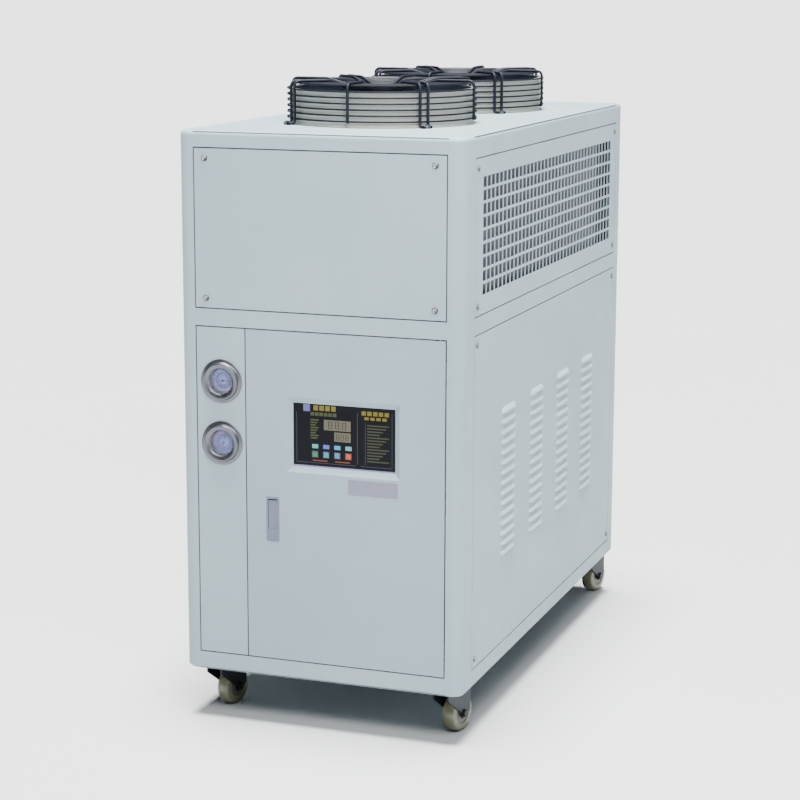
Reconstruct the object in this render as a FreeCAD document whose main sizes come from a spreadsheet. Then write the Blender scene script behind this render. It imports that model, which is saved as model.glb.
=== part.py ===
"""Air-cooled water chiller on casters, as a parametric assembly in millimetres.

The origin is the centre of the footprint on the floor. The front faces -Y, the right side faces +X, +Z is up.
Every driving dimension is a cell of the sheet "Sizes"; a text such as "cabinet_width / 2" names those cells.
"""
import FreeCAD, Part
import Sketcher
import math
import os
import re

from FreeCAD import Placement, Rotation, Vector

SIZES = {
    # cabinet
    "cabinet_width": 580, "cabinet_depth": 1176, "cabinet_height": 1066, "ground_gap": 100,
    "corner_round": 25, "edge_round": 9, "bottom_edge": 5, "wall": 4, "panel_thickness": 2, "ledge": 12,
    "front_margin": 34, "side_margin": 60, "lower_bottom": 36, "lower_top": 692,
    "upper_bottom": 725, "front_top": 1035, "side_top": 1025, "panel_gap": 2.5,
    "return_depth": 14, "return_wall": 1.5, "strip_width": 104, "mullion_width": 32,
    "tray_height": 700, "tray_sheet": 2, "tray_slot_width": 60, "tray_slot_length": 240,
    # punched grilles and pressed louvres
    "grille_margin_along": 47, "grille_margin_up": 35.5, "grille_rows": 9, "grille_columns": 3,
    "grille_web": 4.5, "louvre_rows": 15, "louvre_columns": 4, "louvre_length": 92, "louvre_pitch": 20.6,
    "louvre_column_pitch": 200, "louvre_height": 10, "louvre_rise": 4.5, "louvre_centre": 371,
    # fans and guards
    "fan_spacing": 482, "fan_ring_radius": 182, "fan_ring_wall": 1.6, "fan_ring_height": 70,
    "guard_radius": 196, "guard_height": 88, "guard_wire": 6, "ring_wire": 3.6, "side_rings": 3,
    "first_ring": 12, "last_ring": 68, "guard_sides": 16, "hub_plate_height": 66, "hub_plate_radius": 58,
    "hub_plate_hole": 30, "hub_plate_sheet": 4.5, "arm_pair_gap": 17, "foot_reach": 18, "top_bend": 16,
    "arm_drop_start": 118, "plate_hold": 12, "stator_radius": 48, "stator_height": 14, "rotor_gap": 3,
    "hub_radius": 51, "hub_sides": 20,
    "rotor_height": 52, "shaft_radius": 6, "shaft_play": 0.05, "blade_count": 5, "blade_tip_radius": 168,
    "blade_root_chord": 62, "blade_tip_chord": 100, "blade_root_pitch": 38, "blade_tip_pitch": 22,
    "blade_sweep": 16, "blade_thickness": 2.5, "blade_stations": 3,
    # casters
    "caster_inset_x": 50, "caster_inset_y": 63, "caster_yaw": 13, "caster_trail": 38, "wheel_radius": 37.5,
    "wheel_width": 28, "wheel_side_gap": 1.5, "axle_radius": 4, "axle_play": 0.05, "plate_length": 84,
    "plate_width": 62, "plate_sheet": 3, "race_radius": 21, "race_gap": 0.3, "fork_top_thickness": 4,
    "fork_top_gap": 3.5, "fork_sheet": 3, "fork_front": 23, "fork_back": 20,
    "kingpin_radius": 5.5, "kingpin_head": 9,
    # door, hinges and latch
    "door_gap": 2.5, "door_return_depth": 15, "door_return_inset": 16, "hinge_inset": 12, "hinge_setback": 6,
    "hinge_pin_radius": 1.9, "hinge_play": 0.05, "hinge_leaf": 4, "hinge_reach": 10, "hinge_overlap": 16,
    "leaf_reach": 8,
    "lock_offset": 55, "lock_centre": 320, "lock_width": 26, "lock_height": 88, "lock_rim": 1.5,
    "lock_depth": 24, "lock_wall": 2, "handle_length": 58, "handle_thickness": 5, "handle_play": 0.6,
    "handle_pin_radius": 1.5, "handle_top_gap": 3, "button_radius": 7, "button_length": 8, "button_rise": 1,
    "button_way": 12, "bolt_height": 14, "bolt_thickness": 4, "bolt_clear": 1.5,
    "bolt_tail": 6, "bolt_play": 0.4,
    # controller
    "controller_offset": 208, "controller_centre": 490, "controller_width": 208, "controller_height": 123.5,
    "bezel_slope": 11.5, "bezel_depth": 8, "controller_plate": 3, "controller_box_depth": 34,
    "controller_box_inset": 12, "controller_lip": 6, "controller_play": 0.4, "key_size": 13.5,
    "key_pitch": 22.8, "key_rise": 1.2, "key_play": 0.3, "key_x": -59, "key_z": -36, "key_depth": 3.5,
    "key_pocket_depth": 6, "display_rise": 0.6, "display_left": -41.5, "display_right": 14.6,
    "display_bottom": 12, "display_top": 33, "small_display_left": -21, "small_display_bottom": -9,
    "small_display_top": 10,
    # gauges
    "gauge_offset": 54, "upper_gauge": 585, "lower_gauge": 463, "gauge_flange_radius": 43, "gauge_flange": 2,
    "gauge_body_radius": 31.5, "gauge_bezel_radius": 36, "gauge_bezel_rise": 9, "gauge_window_radius": 25,
    "gauge_body_depth": 28, "gauge_cup_depth": 20, "gauge_panel_play": 0.5, "lens_thickness": 1.5,
    "dial_thickness": 1.5, "needle_length": 20, "needle_width": 1.8, "needle_thickness": 0.8,
    "needle_hub_radius": 3, "needle_shaft_radius": 1.2, "needle_play": 0.05, "needle_height": 5,
    "upper_needle_angle": 90, "lower_needle_angle": 15, "round_sides": 24, "small_sides": 12,
    "ring_sides": 32,
    # screws
    "screw_head_radius": 6.5, "screw_head": 2.4, "screw_sides": 6, "front_screw_x": 24, "front_screw_z": 21,
    "side_screw_y": 17, "side_screw_z": 20,
    # condenser coils
    "coil_thickness": 34, "coil_gap": 8, "coil_inset": 50, "header_inset": 97, "header_reach": 26,
    "coil_height": 296, "coil_fins": 13, "coil_link": 8, "coil_fin_depth": 5, "header_radius": 11,
    # machine compartment
    "compressor_inset_x": 160, "compressor_inset_y": 258, "compressor_radius": 84, "compressor_height": 300,
    "compressor_dome": 24, "compressor_dome_radius": 58,
    "compressor_foot": 105, "compressor_foot_sheet": 5, "terminal_reach": 26, "terminal_width": 70,
    "terminal_low": 150, "terminal_height": 80, "mount_radius": 14, "mount_height": 14,
    "tank_width": 380, "tank_length": 440, "tank_height": 430, "tank_inset": 108, "tank_lid": 12,
    "tank_lid_reach": 12,
    "pump_inset": 150, "pump_ahead": 180, "pump_radius": 62, "pump_height": 150, "pump_length": 190,
    "volute_radius": 72, "volute_width": 46, "pump_outlet": 14, "pump_foot_width": 87, "plate_x": -20,
    "plate_inset": 158, "plate_plan_width": 300,
    "plate_drop": 250, "plate_sheet_back": 3, "contactor_width": 46, "contactor_height": 86,
    "contactor_depth": 60, "contactor_pitch": 74, "contactor_low": 90, "terminal_row_depth": 36,
    "terminal_row_low": 24, "terminal_row_height": 32, "terminal_row_inset": 20,
    "gas_pipe_radius": 8, "water_pipe_radius": 14, "pipe_bend": 34, "pipe_sides": 8,
    "discharge_rise": 90, "discharge_inset": 40, "discharge_over_tray": 80, "suction_rise": 110,
    "suction_offset": 60, "suction_port": 30, "press_rise": 60, "press_gap": 30, "press_inset": 25,
    # water ports and cable gland on the back
    "port_inset": 170, "inlet_height": 330, "outlet_height": 190, "port_radius": 16.6, "port_bore": 12.5,
    "port_reach": 20, "port_inner": 60, "port_nut_radius": 27, "port_nut": 4, "port_hole_play": 0.4,
    "gland_inset": 140,
    "gland_height": 150, "gland_radius": 13, "gland_bore": 7, "gland_reach": 16, "gland_inner": 12,
    "port_sleeve": 1,
}

doc = FreeCAD.newDocument("air_cooled_chiller")
sheet = doc.addObject("Spreadsheet::Sheet", "Sizes")
for row, (alias, value) in enumerate(SIZES.items(), 1):
    sheet.set(f"A{row}", alias)
    sheet.set(f"B{row}", str(value))
    sheet.setAlias(f"B{row}", alias)
doc.recompute()

# Places that several pieces share, as expressions on the sheet
HALF_WIDTH = "(cabinet_width / 2)"
HALF_DEPTH = "(cabinet_depth / 2)"
FRONT = "(-cabinet_depth / 2)"
TOP = "(ground_gap + cabinet_height)"
FLOOR = "(ground_gap + wall)"
PANEL_X = "(cabinet_width / 2 - front_margin)"
PANEL_Y = "(cabinet_depth / 2 - side_margin)"
LOWER_BOTTOM = "(ground_gap + lower_bottom)"
LOWER_TOP = "(ground_gap + lower_top)"
UPPER_BOTTOM = "(ground_gap + upper_bottom)"
FRONT_TOP = "(ground_gap + front_top)"
SIDE_TOP = "(ground_gap + side_top)"
SPLIT_X = f"(strip_width - {PANEL_X})"
TRAY_TOP = "(ground_gap + tray_height + tray_sheet)"
LARGE = "(2 * cabinet_depth + 2 * cabinet_height)"
GAUGE_X = f"(gauge_offset - {PANEL_X})"
LOCK_X = f"({SPLIT_X} + lock_offset)"
CONTROLLER_X = f"({PANEL_X} - controller_offset)"
COMPRESSOR_X = "(cabinet_width / 2 - compressor_inset_x)"
COMPRESSOR_Y = "(compressor_inset_y - cabinet_depth / 2)"
TANK_Y = "(cabinet_depth / 2 - tank_inset - tank_length / 2)"
PUMP_X = "(pump_inset - cabinet_width / 2)"
PUMP_Y = f"({TANK_Y} - tank_length / 2 - pump_ahead)"
PLATE_Y = "(plate_inset - cabinet_depth / 2)"
PORT_X = "(port_inset - cabinet_width / 2)"
GLAND_X = "(cabinet_width / 2 - gland_inset)"
COIL_BACK = f"({PANEL_Y} - header_inset - header_reach)"

nodes = []


# Helpers: every helper binds what it makes to the sheet

def bound(text):
    """The expression with each alias written as a cell of the sheet."""
    return re.sub(r"[a-z]\w*", lambda m: "Sizes." + m.group(0) if m.group(0) in SIZES else m.group(0), text)


def number(text):
    """The value of an expression, for shapes that are made with Part's own functions."""
    return float(sheet.evalExpression(bound(text)))


def place(obj, x="0", y="0", z="0", rotation=None):
    """Puts an object at a point given by expressions."""
    if rotation is not None:
        obj.Placement = Placement(Vector(0, 0, 0), rotation)
    for axis, text in zip("xyz", (x, y, z)):
        obj.setExpression("Placement.Base." + axis, bound(text))
    return obj


def node(obj, label):
    """Marks an object as one sub-part of the chiller, and gives it its name."""
    obj.Label = label
    nodes.append(obj)
    return obj


def box(x, y, z, name="block"):
    """A block that spans the three (low, high) pairs."""
    block = doc.addObject("Part::Box", name)
    for side, (low, high) in zip(("Length", "Width", "Height"), (x, y, z)):
        block.setExpression(side, bound(f"({high}) - ({low})"))
    return place(block, x[0], y[0], z[0])


def centred(middle, size):
    """The (low, high) pair of a span about its middle."""
    return f"({middle}) - ({size}) / 2", f"({middle}) + ({size}) / 2"


def mirrored(pair):
    """The (low, high) pair on the other side of zero."""
    return f"-({pair[1]})", f"-({pair[0]})"


def cylinder(radius, length, at, towards="Z", name="round"):
    """A cylinder that starts at a point and runs along +X, +Y, -Y or +Z."""
    turns = {"X": Rotation(Vector(0, 1, 0), 90), "Y": Rotation(Vector(1, 0, 0), -90),
             "-Y": Rotation(Vector(1, 0, 0), 90), "Z": Rotation()}
    rod = doc.addObject("Part::Cylinder", name)
    rod.setExpression("Radius", bound(radius))
    rod.setExpression("Height", bound(length))
    return place(rod, *at, rotation=turns[towards])


def prism(sides, radius, length, at, towards="Z", name="prism"):
    """A regular prism, such as a nut or a faceted screw head."""
    turns = {"X": Rotation(Vector(0, 1, 0), 90), "-X": Rotation(Vector(0, 1, 0), -90),
             "Y": Rotation(Vector(1, 0, 0), -90), "-Y": Rotation(Vector(1, 0, 0), 90), "Z": Rotation()}
    body = doc.addObject("Part::Prism", name)
    body.setExpression("Polygon", bound(sides))
    body.setExpression("Circumradius", bound(radius))
    body.setExpression("Height", bound(length))
    return place(body, *at, rotation=turns[towards])


def fuse(*shapes, name="joined"):
    joined = doc.addObject("Part::MultiFuse", name)
    joined.Shapes = list(shapes)
    return joined


def cut(base, *tools, name="cut"):
    result = doc.addObject("Part::Cut", name)
    result.Base = base
    result.Tool = tools[0] if len(tools) == 1 else fuse(*tools, name="tools")
    return result


def common(first, second, name="region"):
    result = doc.addObject("Part::Common", name)
    result.Base = first
    result.Tool = second
    return result


def group(*shapes, name="group"):
    """Separate solids that make one sub-part."""
    result = doc.addObject("Part::Compound", name)
    result.Links = list(shapes)
    return result


def feature(shape, name):
    """A piece whose shape is made with Part's own functions from the sheet's values."""
    result = doc.addObject("Part::Feature", name)
    result.Shape = shape
    return result


def turned_about_z(obj, angle, x="0", y="0"):
    """Turns a finished piece about the vertical through a point."""
    holder = group(obj, name="turned")
    holder.Placement = Placement(Vector(0, 0, 0), Rotation(Vector(0, 0, 1), number(angle)))
    return place(holder, x, y)


def outline(body, plane, points, name):
    """A closed sketch through (across, up) points, each held by two distances from the origin."""
    sketch = body.newObject("Sketcher::SketchObject", name)
    sketch.AttachmentSupport = ([f for f in body.Origin.OriginFeatures if f.Role == plane][0], [""])
    sketch.MapMode = "FlatFace"
    places = [Vector(number(across), number(up), 0) for across, up in points]
    for i, start in enumerate(places):
        sketch.addGeometry(Part.LineSegment(start, places[(i + 1) % len(places)]), False)
    for i in range(len(places)):
        sketch.addConstraint(Sketcher.Constraint("Coincident", i, 2, (i + 1) % len(places), 1))
    for i, (point, texts) in enumerate(zip(places, points)):
        for kind, value, text in zip(("DistanceX", "DistanceY"), point, texts):
            index = sketch.addConstraint(Sketcher.Constraint(kind, -1, 1, i, 1, value))
            sketch.setExpression(f"Constraints[{index}]", bound(text))
    return sketch


def padded(points, length, plane="XY_Plane", name="padded"):
    """A body that pads one outline."""
    body = doc.addObject("PartDesign::Body", name)
    pad = body.newObject("PartDesign::Pad", name + "_pad")
    pad.Profile = outline(body, plane, points, name + "_outline")
    pad.setExpression("Length", bound(length))
    return body


def revolved(points, name="turned", towards="Z"):
    """A body turned about its own axis from a half section of (radius, along) points."""
    body = doc.addObject("PartDesign::Body", name)
    turning = body.newObject("PartDesign::Revolution", name + "_turning")
    section = outline(body, "XZ_Plane", points, name + "_section")
    turning.Profile = section
    turning.ReferenceAxis = (section, ["V_Axis"])
    turning.Angle = 360
    turns = {"X": Rotation(Vector(0, 1, 0), 90), "-Y": Rotation(Vector(1, 0, 0), 90), "Z": Rotation()}
    body.Placement = Placement(Vector(0, 0, 0), turns[towards])
    return body


def edges_of(shape, wanted):
    """The names of the edges whose end points pass a test."""
    return [f"Edge{i}" for i, edge in enumerate(shape.Edges, 1) if wanted([v.Point for v in edge.Vertexes])]


# Cabinet: one rounded shell, opened for the panels and parted into its welded frames

def rounded_block(inset, round_edges, name):
    """A block with round upright corners. The outside also has a round top edge and a bevelled bottom edge."""
    x, y = f"(cabinet_width / 2 - ({inset}))", f"(cabinet_depth / 2 - ({inset}))"
    body = padded([(f"-{x}", f"-{y}"), (x, f"-{y}"), (x, y), (f"-{x}", y)],
                  f"cabinet_height - 2 * ({inset})", name=name)
    doc.recompute()
    pad = body.Tip
    upright = edges_of(pad.Shape, lambda ends: abs(ends[0].z - ends[-1].z) > 1)
    corners = body.newObject("PartDesign::Fillet", name + "_corners")
    corners.Base = (pad, upright)
    corners.setExpression("Radius", bound(f"corner_round - ({inset})"))
    body.Tip = corners
    doc.recompute()
    if round_edges:
        upper = edges_of(corners.Shape, lambda ends: min(ends[0].z, ends[-1].z) > 1)
        rims = body.newObject("PartDesign::Fillet", name + "_rims")
        rims.Base = (corners, upper)
        rims.setExpression("Radius", bound("edge_round"))
        body.Tip = rims
        doc.recompute()
        lower = edges_of(rims.Shape, lambda ends: max(ends[0].z, ends[-1].z) < 1)
        hem = body.newObject("PartDesign::Chamfer", name + "_hem")
        hem.Base = (rims, lower)
        hem.setExpression("Size", bound("bottom_edge"))
        body.Tip = hem
    return place(body, z=f"ground_gap + ({inset})")


def panel_seat(side, across, up):
    """The flush seat of a panel and the way through behind it, for one side: front, back, left or right."""
    through = [(f"({p[0]}) + ledge", f"({p[1]}) - ledge") for p in (across, up)]
    seats = []
    for (s, u), depth in (((across, up), "panel_thickness"), (through, "2 * wall")):
        if side in ("front", "back"):
            out = (f"{HALF_DEPTH} - {depth}", f"{HALF_DEPTH} + wall")
            seats.append(box(s, out if side == "back" else mirrored(out), u, "seat"))
        else:
            out = (f"{HALF_WIDTH} - {depth}", f"{HALF_WIDTH} + wall")
            seats.append(box(out if side == "right" else mirrored(out), s, u, "seat"))
    return seats


def cabinet():
    """The frames of the cabinet: base, front, back, side rails and top."""
    shell = cut(rounded_block("0", True, "outside"), rounded_block("wall", False, "inside"), name="shell")
    front_x, side_y = (f"-{PANEL_X}", PANEL_X), (f"-{PANEL_Y}", PANEL_Y)
    lower, upper_front = (LOWER_BOTTOM, LOWER_TOP), (UPPER_BOTTOM, FRONT_TOP)
    upper_side = (UPPER_BOTTOM, SIDE_TOP)
    openings = []
    for side in ("front", "back"):
        openings += panel_seat(side, front_x, upper_front)
    openings += panel_seat("back", front_x, lower)
    for side in ("left", "right"):
        openings += panel_seat(side, side_y, upper_side) + panel_seat(side, side_y, lower)
    # The door's opening has no ledge at the hinge side, where the door's edge swings in
    seat_y = (f"{FRONT} - wall", f"{FRONT} + panel_thickness")
    deep_y = (f"{FRONT} - wall", f"{FRONT} + 2 * wall")
    low, high = f"{LOWER_BOTTOM} + ledge", f"{LOWER_TOP} - ledge"
    openings.append(box(front_x, seat_y, lower, "front_seat"))
    openings.append(box((f"-{PANEL_X} + ledge", f"{SPLIT_X} - mullion_width / 2"), deep_y, (low, high),
                        "strip_way"))
    openings.append(box((f"{SPLIT_X} + mullion_width / 2", PANEL_X), deep_y, (low, high), "door_way"))
    openings.append(box((f"{PANEL_X} - hinge_inset - hinge_overlap", PANEL_X), deep_y, lower, "hinge_way"))
    for y in fan_places():
        openings.append(prism("ring_sides", "fan_ring_radius - fan_ring_wall", "4 * wall",
                              ("0", y, f"{TOP} - 2 * wall"), name="fan_hole"))
    openings += back_holes("wall")
    opened = cut(shell, *openings, name="opened_shell")

    everywhere = (f"-{LARGE}", LARGE)
    base_top, top_bottom = f"{LOWER_BOTTOM} + ledge", f"{SIDE_TOP} - ledge"
    middle = (base_top, top_bottom)
    post = f"({PANEL_Y} - ledge)"
    node(common(opened, box(everywhere, everywhere, ("0", base_top))), "base_frame")
    node(common(opened, box(everywhere, (f"-{LARGE}", f"-{post}"), middle)), "front_frame")
    node(common(opened, box(everywhere, (post, LARGE), middle)), "rear_frame")
    node(common(opened, box(everywhere, (f"-{post}", post), middle)), "side_rails")
    node(common(opened, box(everywhere, everywhere, (top_bottom, LARGE))), "top_cover")


def partition_tray():
    """The sheet between the condenser section and the machine compartment, with pipe slots."""
    inner_x, inner_y = f"({HALF_WIDTH} - wall)", f"({HALF_DEPTH} - wall)"
    z = (f"{TRAY_TOP} - tray_sheet", TRAY_TOP)
    sheet_metal = box((f"-{inner_x}", inner_x), (f"-{inner_y}", inner_y), z, "tray_sheet")
    deep = (f"{z[0]} - wall", f"{z[1]} + wall")
    slots = [box(centred("0", "tray_slot_width"), centred(y, "tray_slot_length"), deep, "slot")
             for y in (f"-{HALF_DEPTH} / 2", f"{HALF_DEPTH} / 2")]
    corners = []
    for sx in (-1, 1):
        for sy in (-1, 1):
            x = (f"{inner_x} - corner_round + wall", f"{inner_x} + wall")
            y = (f"{inner_y} - corner_round + wall", f"{inner_y} + wall")
            corners.append(box(x if sx > 0 else mirrored(x), y if sy > 0 else mirrored(y), deep, "corner"))
    node(cut(sheet_metal, *slots, *corners), "partition_tray")


def back_holes(depth):
    """The ways for the water ports and the cable gland through the back."""
    y = f"{HALF_DEPTH} - 4 * ({depth})"
    holes = [prism("small_sides", "port_nut_radius - 4", f"8 * ({depth})", (PORT_X, y, height), "Y",
                   "port_hole")
             for height in ("ground_gap + inlet_height", "ground_gap + outlet_height")]
    holes.append(prism("small_sides", "gland_radius + port_hole_play", f"8 * ({depth})",
                       (GLAND_X, y, "ground_gap + gland_height"), "Y", "gland_hole"))
    return holes


def tray_panel(across, up, side, inset="(ledge + 1)"):
    """A flush sheet panel with its edges folded back. inset is how far in the right-hand fold stands."""
    gap = "panel_gap"
    x, z = [(f"({p[0]}) + {gap}", f"({p[1]}) - {gap}") for p in (across, up)]
    face_y = (FRONT, f"{FRONT} + panel_thickness")
    fold_y = (face_y[1], f"{face_y[1]} + return_depth")
    if side == "back":
        face_y, fold_y = mirrored(face_y), mirrored(fold_y)
    outer = [(f"({across[0]}) + ledge + 1", f"({across[1]}) - {inset}"),
             (f"({up[0]}) + ledge + 1", f"({up[1]}) - ledge - 1")]
    inner = [(f"({p[0]}) + return_wall", f"({p[1]}) - return_wall") for p in outer]
    folds = cut(box(outer[0], fold_y, outer[1], "folds"), box(inner[0], fold_y, inner[1], "hollow"))
    return fuse(box(x, face_y, z, "face"), folds, name="folded_panel")


def front_panels():
    """The upper panel and the gauge strip on the front, and the two panels on the back."""
    wide = (f"-{PANEL_X}", PANEL_X)
    upper, lower = (UPPER_BOTTOM, FRONT_TOP), (LOWER_BOTTOM, LOWER_TOP)
    node(tray_panel(wide, upper, "front"), "front_upper_panel")
    node(tray_panel(wide, upper, "back"), "rear_upper_panel")
    node(cut(tray_panel(wide, lower, "back"), *back_holes("panel_thickness")), "rear_lower_panel")
    strip = tray_panel((f"-{PANEL_X}", f"{SPLIT_X} + panel_gap / 2"), lower, "front",
                       "(mullion_width / 2 + panel_gap / 2 + 1)")
    holes = [cylinder("gauge_body_radius + gauge_panel_play", "3 * wall",
                      (GAUGE_X, f"{FRONT} - wall", f"ground_gap + {height}"), "Y", "gauge_hole")
             for height in ("upper_gauge", "lower_gauge")]
    node(cut(strip, *holes), "gauge_panel")


def grille(side):
    """A flush panel with its punched field, as one punched sheet. side is 1 for right and -1 for left."""
    half = number(f"{PANEL_Y} - panel_gap")
    low, high = number(f"{UPPER_BOTTOM} + panel_gap"), number(f"{SIDE_TOP} - panel_gap")
    thick, reach = number("panel_thickness"), number(HALF_WIDTH)
    rows, columns, web = int(number("grille_rows")), int(number("grille_columns")), number("grille_web")
    start_y, start_z = number("grille_margin_along") - half, low + number("grille_margin_up")
    pitch_y = (web - 2 * start_y) / columns
    pitch_z = (high - low - 2 * number("grille_margin_up") + web) / rows

    def rectangle(y0, y1, z0, z1):
        corners = [Vector(reach - thick, y, z) for y, z in ((y0, z0), (y1, z0), (y1, z1), (y0, z1), (y0, z0))]
        return Part.makePolygon(corners)

    wires = [rectangle(-half, half, low, high)]
    for row in range(rows):
        for column in range(columns):
            y, z = start_y + column * pitch_y, start_z + row * pitch_z
            wires.append(rectangle(y, y + pitch_y - web, z, z + pitch_z - web))
    sheet_metal = Part.makeFace(wires, "Part::FaceMakerBullseye").extrude(Vector(thick, 0, 0))
    if side < 0:
        sheet_metal.rotate(Vector(0, 0, 0), Vector(0, 0, 1), 180)
    return feature(sheet_metal, "grille")


def louvre_panel(side):
    """A flush panel with columns of pressed hoods that shed rain and let air in."""
    body = doc.addObject("PartDesign::Body", "louvre_panel")
    y, low, high = f"({PANEL_Y} - panel_gap)", f"{LOWER_BOTTOM} + panel_gap", f"{LOWER_TOP} - panel_gap"
    plate = body.newObject("PartDesign::Pad", "louvre_plate")
    plate.Profile = outline(body, "YZ_Plane", [(f"-{y}", low), (y, low), (y, high), (f"-{y}", high)],
                            "plate_outline")
    plate.setExpression("Length", bound("panel_thickness"))
    doc.recompute()
    # One hood: a slope that rises out of the sheet from its top edge to its lower lip
    first_y = "-(louvre_columns - 1) * louvre_column_pitch / 2 - louvre_length / 2"
    first_z = "ground_gap + louvre_centre - (louvre_rows - 1) * louvre_pitch / 2 - louvre_height / 2"
    hood = body.newObject("PartDesign::Pad", "hood")
    hood.Profile = outline(body, "XZ_Plane", [("panel_thickness / 2", first_z),
                                              ("panel_thickness + louvre_rise", first_z),
                                              ("panel_thickness / 2", f"{first_z} + louvre_height")], "hood_outline")
    hood.setExpression("Length", bound("louvre_length"))
    hood.Profile[0].setExpression("AttachmentOffset.Base.z", bound(f"-({first_y}) - louvre_length"))
    doc.recompute()
    hoods = body.newObject("PartDesign::LinearPattern", "hoods")
    hoods.Originals = [hood]
    axes = {f.Role: f for f in body.Origin.OriginFeatures}
    hoods.Direction, hoods.Direction2 = (axes["Y_Axis"], [""]), (axes["Z_Axis"], [""])
    hoods.setExpression("Length", bound("(louvre_columns - 1) * louvre_column_pitch"))
    hoods.setExpression("Length2", bound("(louvre_rows - 1) * louvre_pitch"))
    hoods.setExpression("Occurrences", bound("louvre_columns"))
    hoods.setExpression("Occurrences2", bound("louvre_rows"))
    body.Tip = hoods
    if side > 0:
        return place(body, f"{HALF_WIDTH} - panel_thickness")
    return place(body, f"panel_thickness - {HALF_WIDTH}", rotation=Rotation(Vector(0, 0, 1), 180))


def side_panels():
    for side, name in ((1, "right"), (-1, "left")):
        node(grille(side), name + "_grille")
        node(louvre_panel(side), name + "_louvre_panel")


def panel_screws():
    """The faceted heads that hold every panel and the guards' feet."""
    heads = []
    head = ("screw_sides", "screw_head_radius", "screw_head")
    for side in (-1, 1):
        face_y, outwards = (FRONT, "-Y") if side < 0 else (HALF_DEPTH, "Y")
        for x in (f"-({PANEL_X} - front_screw_x)", f"{PANEL_X} - front_screw_x"):
            for z in (f"{UPPER_BOTTOM} + front_screw_z", f"{FRONT_TOP} - front_screw_z"):
                heads.append(prism(*head, (x, face_y, z), outwards))
        for y in (f"-({PANEL_Y} - side_screw_y)", f"{PANEL_Y} - side_screw_y"):
            for z in (f"{UPPER_BOTTOM} + side_screw_z", f"{SIDE_TOP} - side_screw_z",
                      f"{LOWER_BOTTOM} + side_screw_z", f"{LOWER_TOP} - side_screw_z"):
                heads.append(prism(*head, (f"-{HALF_WIDTH}" if side < 0 else HALF_WIDTH, y, z),
                                   "-X" if side < 0 else "X"))
    for x in (f"-({PANEL_X} - front_screw_x)", f"{PANEL_X} - front_screw_x"):
        for z in (f"{LOWER_BOTTOM} + side_screw_z", f"{LOWER_TOP} - side_screw_z"):
            heads.append(prism(*head, (x, HALF_DEPTH, z), "Y"))
    node(group(*heads), "panel_screws")


# Fans: ring, wire guard, motor and rotor, twice

def fan_places():
    return "-fan_spacing / 2", "fan_spacing / 2"


def wire_ring(radius, size, z, sides, height=None):
    """A ring of flat sides, outside radius first: square wire, or a plate of another height."""
    faces = []
    for r in (radius, radius - size):
        corners = [Vector(r * math.cos(2 * math.pi * i / sides), r * math.sin(2 * math.pi * i / sides), z)
                   for i in range(sides + 1)]
        faces.append(Part.Face(Part.makePolygon(corners)))
    return faces[0].cut(faces[1]).extrude(Vector(0, 0, height or size))


def swept(points, radius, sides):
    """A bar of regular section along straight runs, mitred where they meet. A square bar has 4 sides."""
    path = Part.makePolygon([Vector(*p) for p in points])
    along = (Vector(*points[1]) - Vector(*points[0])).normalize()
    first = along.cross(Vector(0, 1, 0))
    if first.Length < 0.5:
        first = along.cross(Vector(1, 0, 0))
    first.normalize()
    second = along.cross(first)
    corners = []
    for i in range(sides + 1):
        turn = 2 * math.pi * (i + 0.5) / sides
        across, up = radius * math.cos(turn), radius * math.sin(turn)
        corners.append(Vector(*points[0]) + first * across + second * up)
    return path.makePipeShell([Part.makePolygon(corners)], True, False, 1)


def guard():
    """A wire guard: rings outside upright wires that bend over the fan and dip to the motor's plate."""
    wire, thin, outer = number("guard_wire"), number("ring_wire"), number("guard_radius")
    top, dip = number("guard_height") - wire / 2, number("hub_plate_height") + wire / 2 + 1
    bend, plate = number("top_bend"), number("hub_plate_radius")
    sides, rings = int(number("guard_sides")), int(number("side_rings"))
    leg = outer - wire / 2
    over_the_top = [(leg, top - bend), (leg - bend, top), (number("arm_drop_start"), top),
                    (plate, dip), (plate - number("plate_hold"), dip)]
    foot = [(leg + number("foot_reach"), wire / 2), (leg, wire / 2)]
    pieces = []
    for i in range(8):
        paired = i % 2 == 1
        start = foot if paired else [(leg, number("first_ring") - 2)]
        arm = swept([(r, 0, z) for r, z in start + over_the_top], wire / math.sqrt(2), 4)
        for shift in ((-0.5, 0.5) if paired else (0,)):
            copy = arm.copy()
            copy.translate(Vector(0, shift * number("arm_pair_gap"), 0))
            copy.rotate(Vector(0, 0, 0), Vector(0, 0, 1), 45 * i)
            pieces.append(copy)
    first, last = number("first_ring"), number("last_ring")
    inside = outer - wire + 0.4
    for i in range(rings):
        pieces.append(wire_ring(inside, thin, first + (last - first) * i / (rings - 1) - thin / 2, sides))
    for radius in (leg - bend - 4, number("arm_drop_start") + 8):
        pieces.append(wire_ring(radius, thin, top - wire / 2 - thin + 0.4, sides))
    pieces.append(wire_ring(plate, plate - number("hub_plate_hole"), number("hub_plate_height"), sides,
                            number("hub_plate_sheet")))
    return pieces[0].multiFuse(pieces[1:]).removeSplitter()


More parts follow.
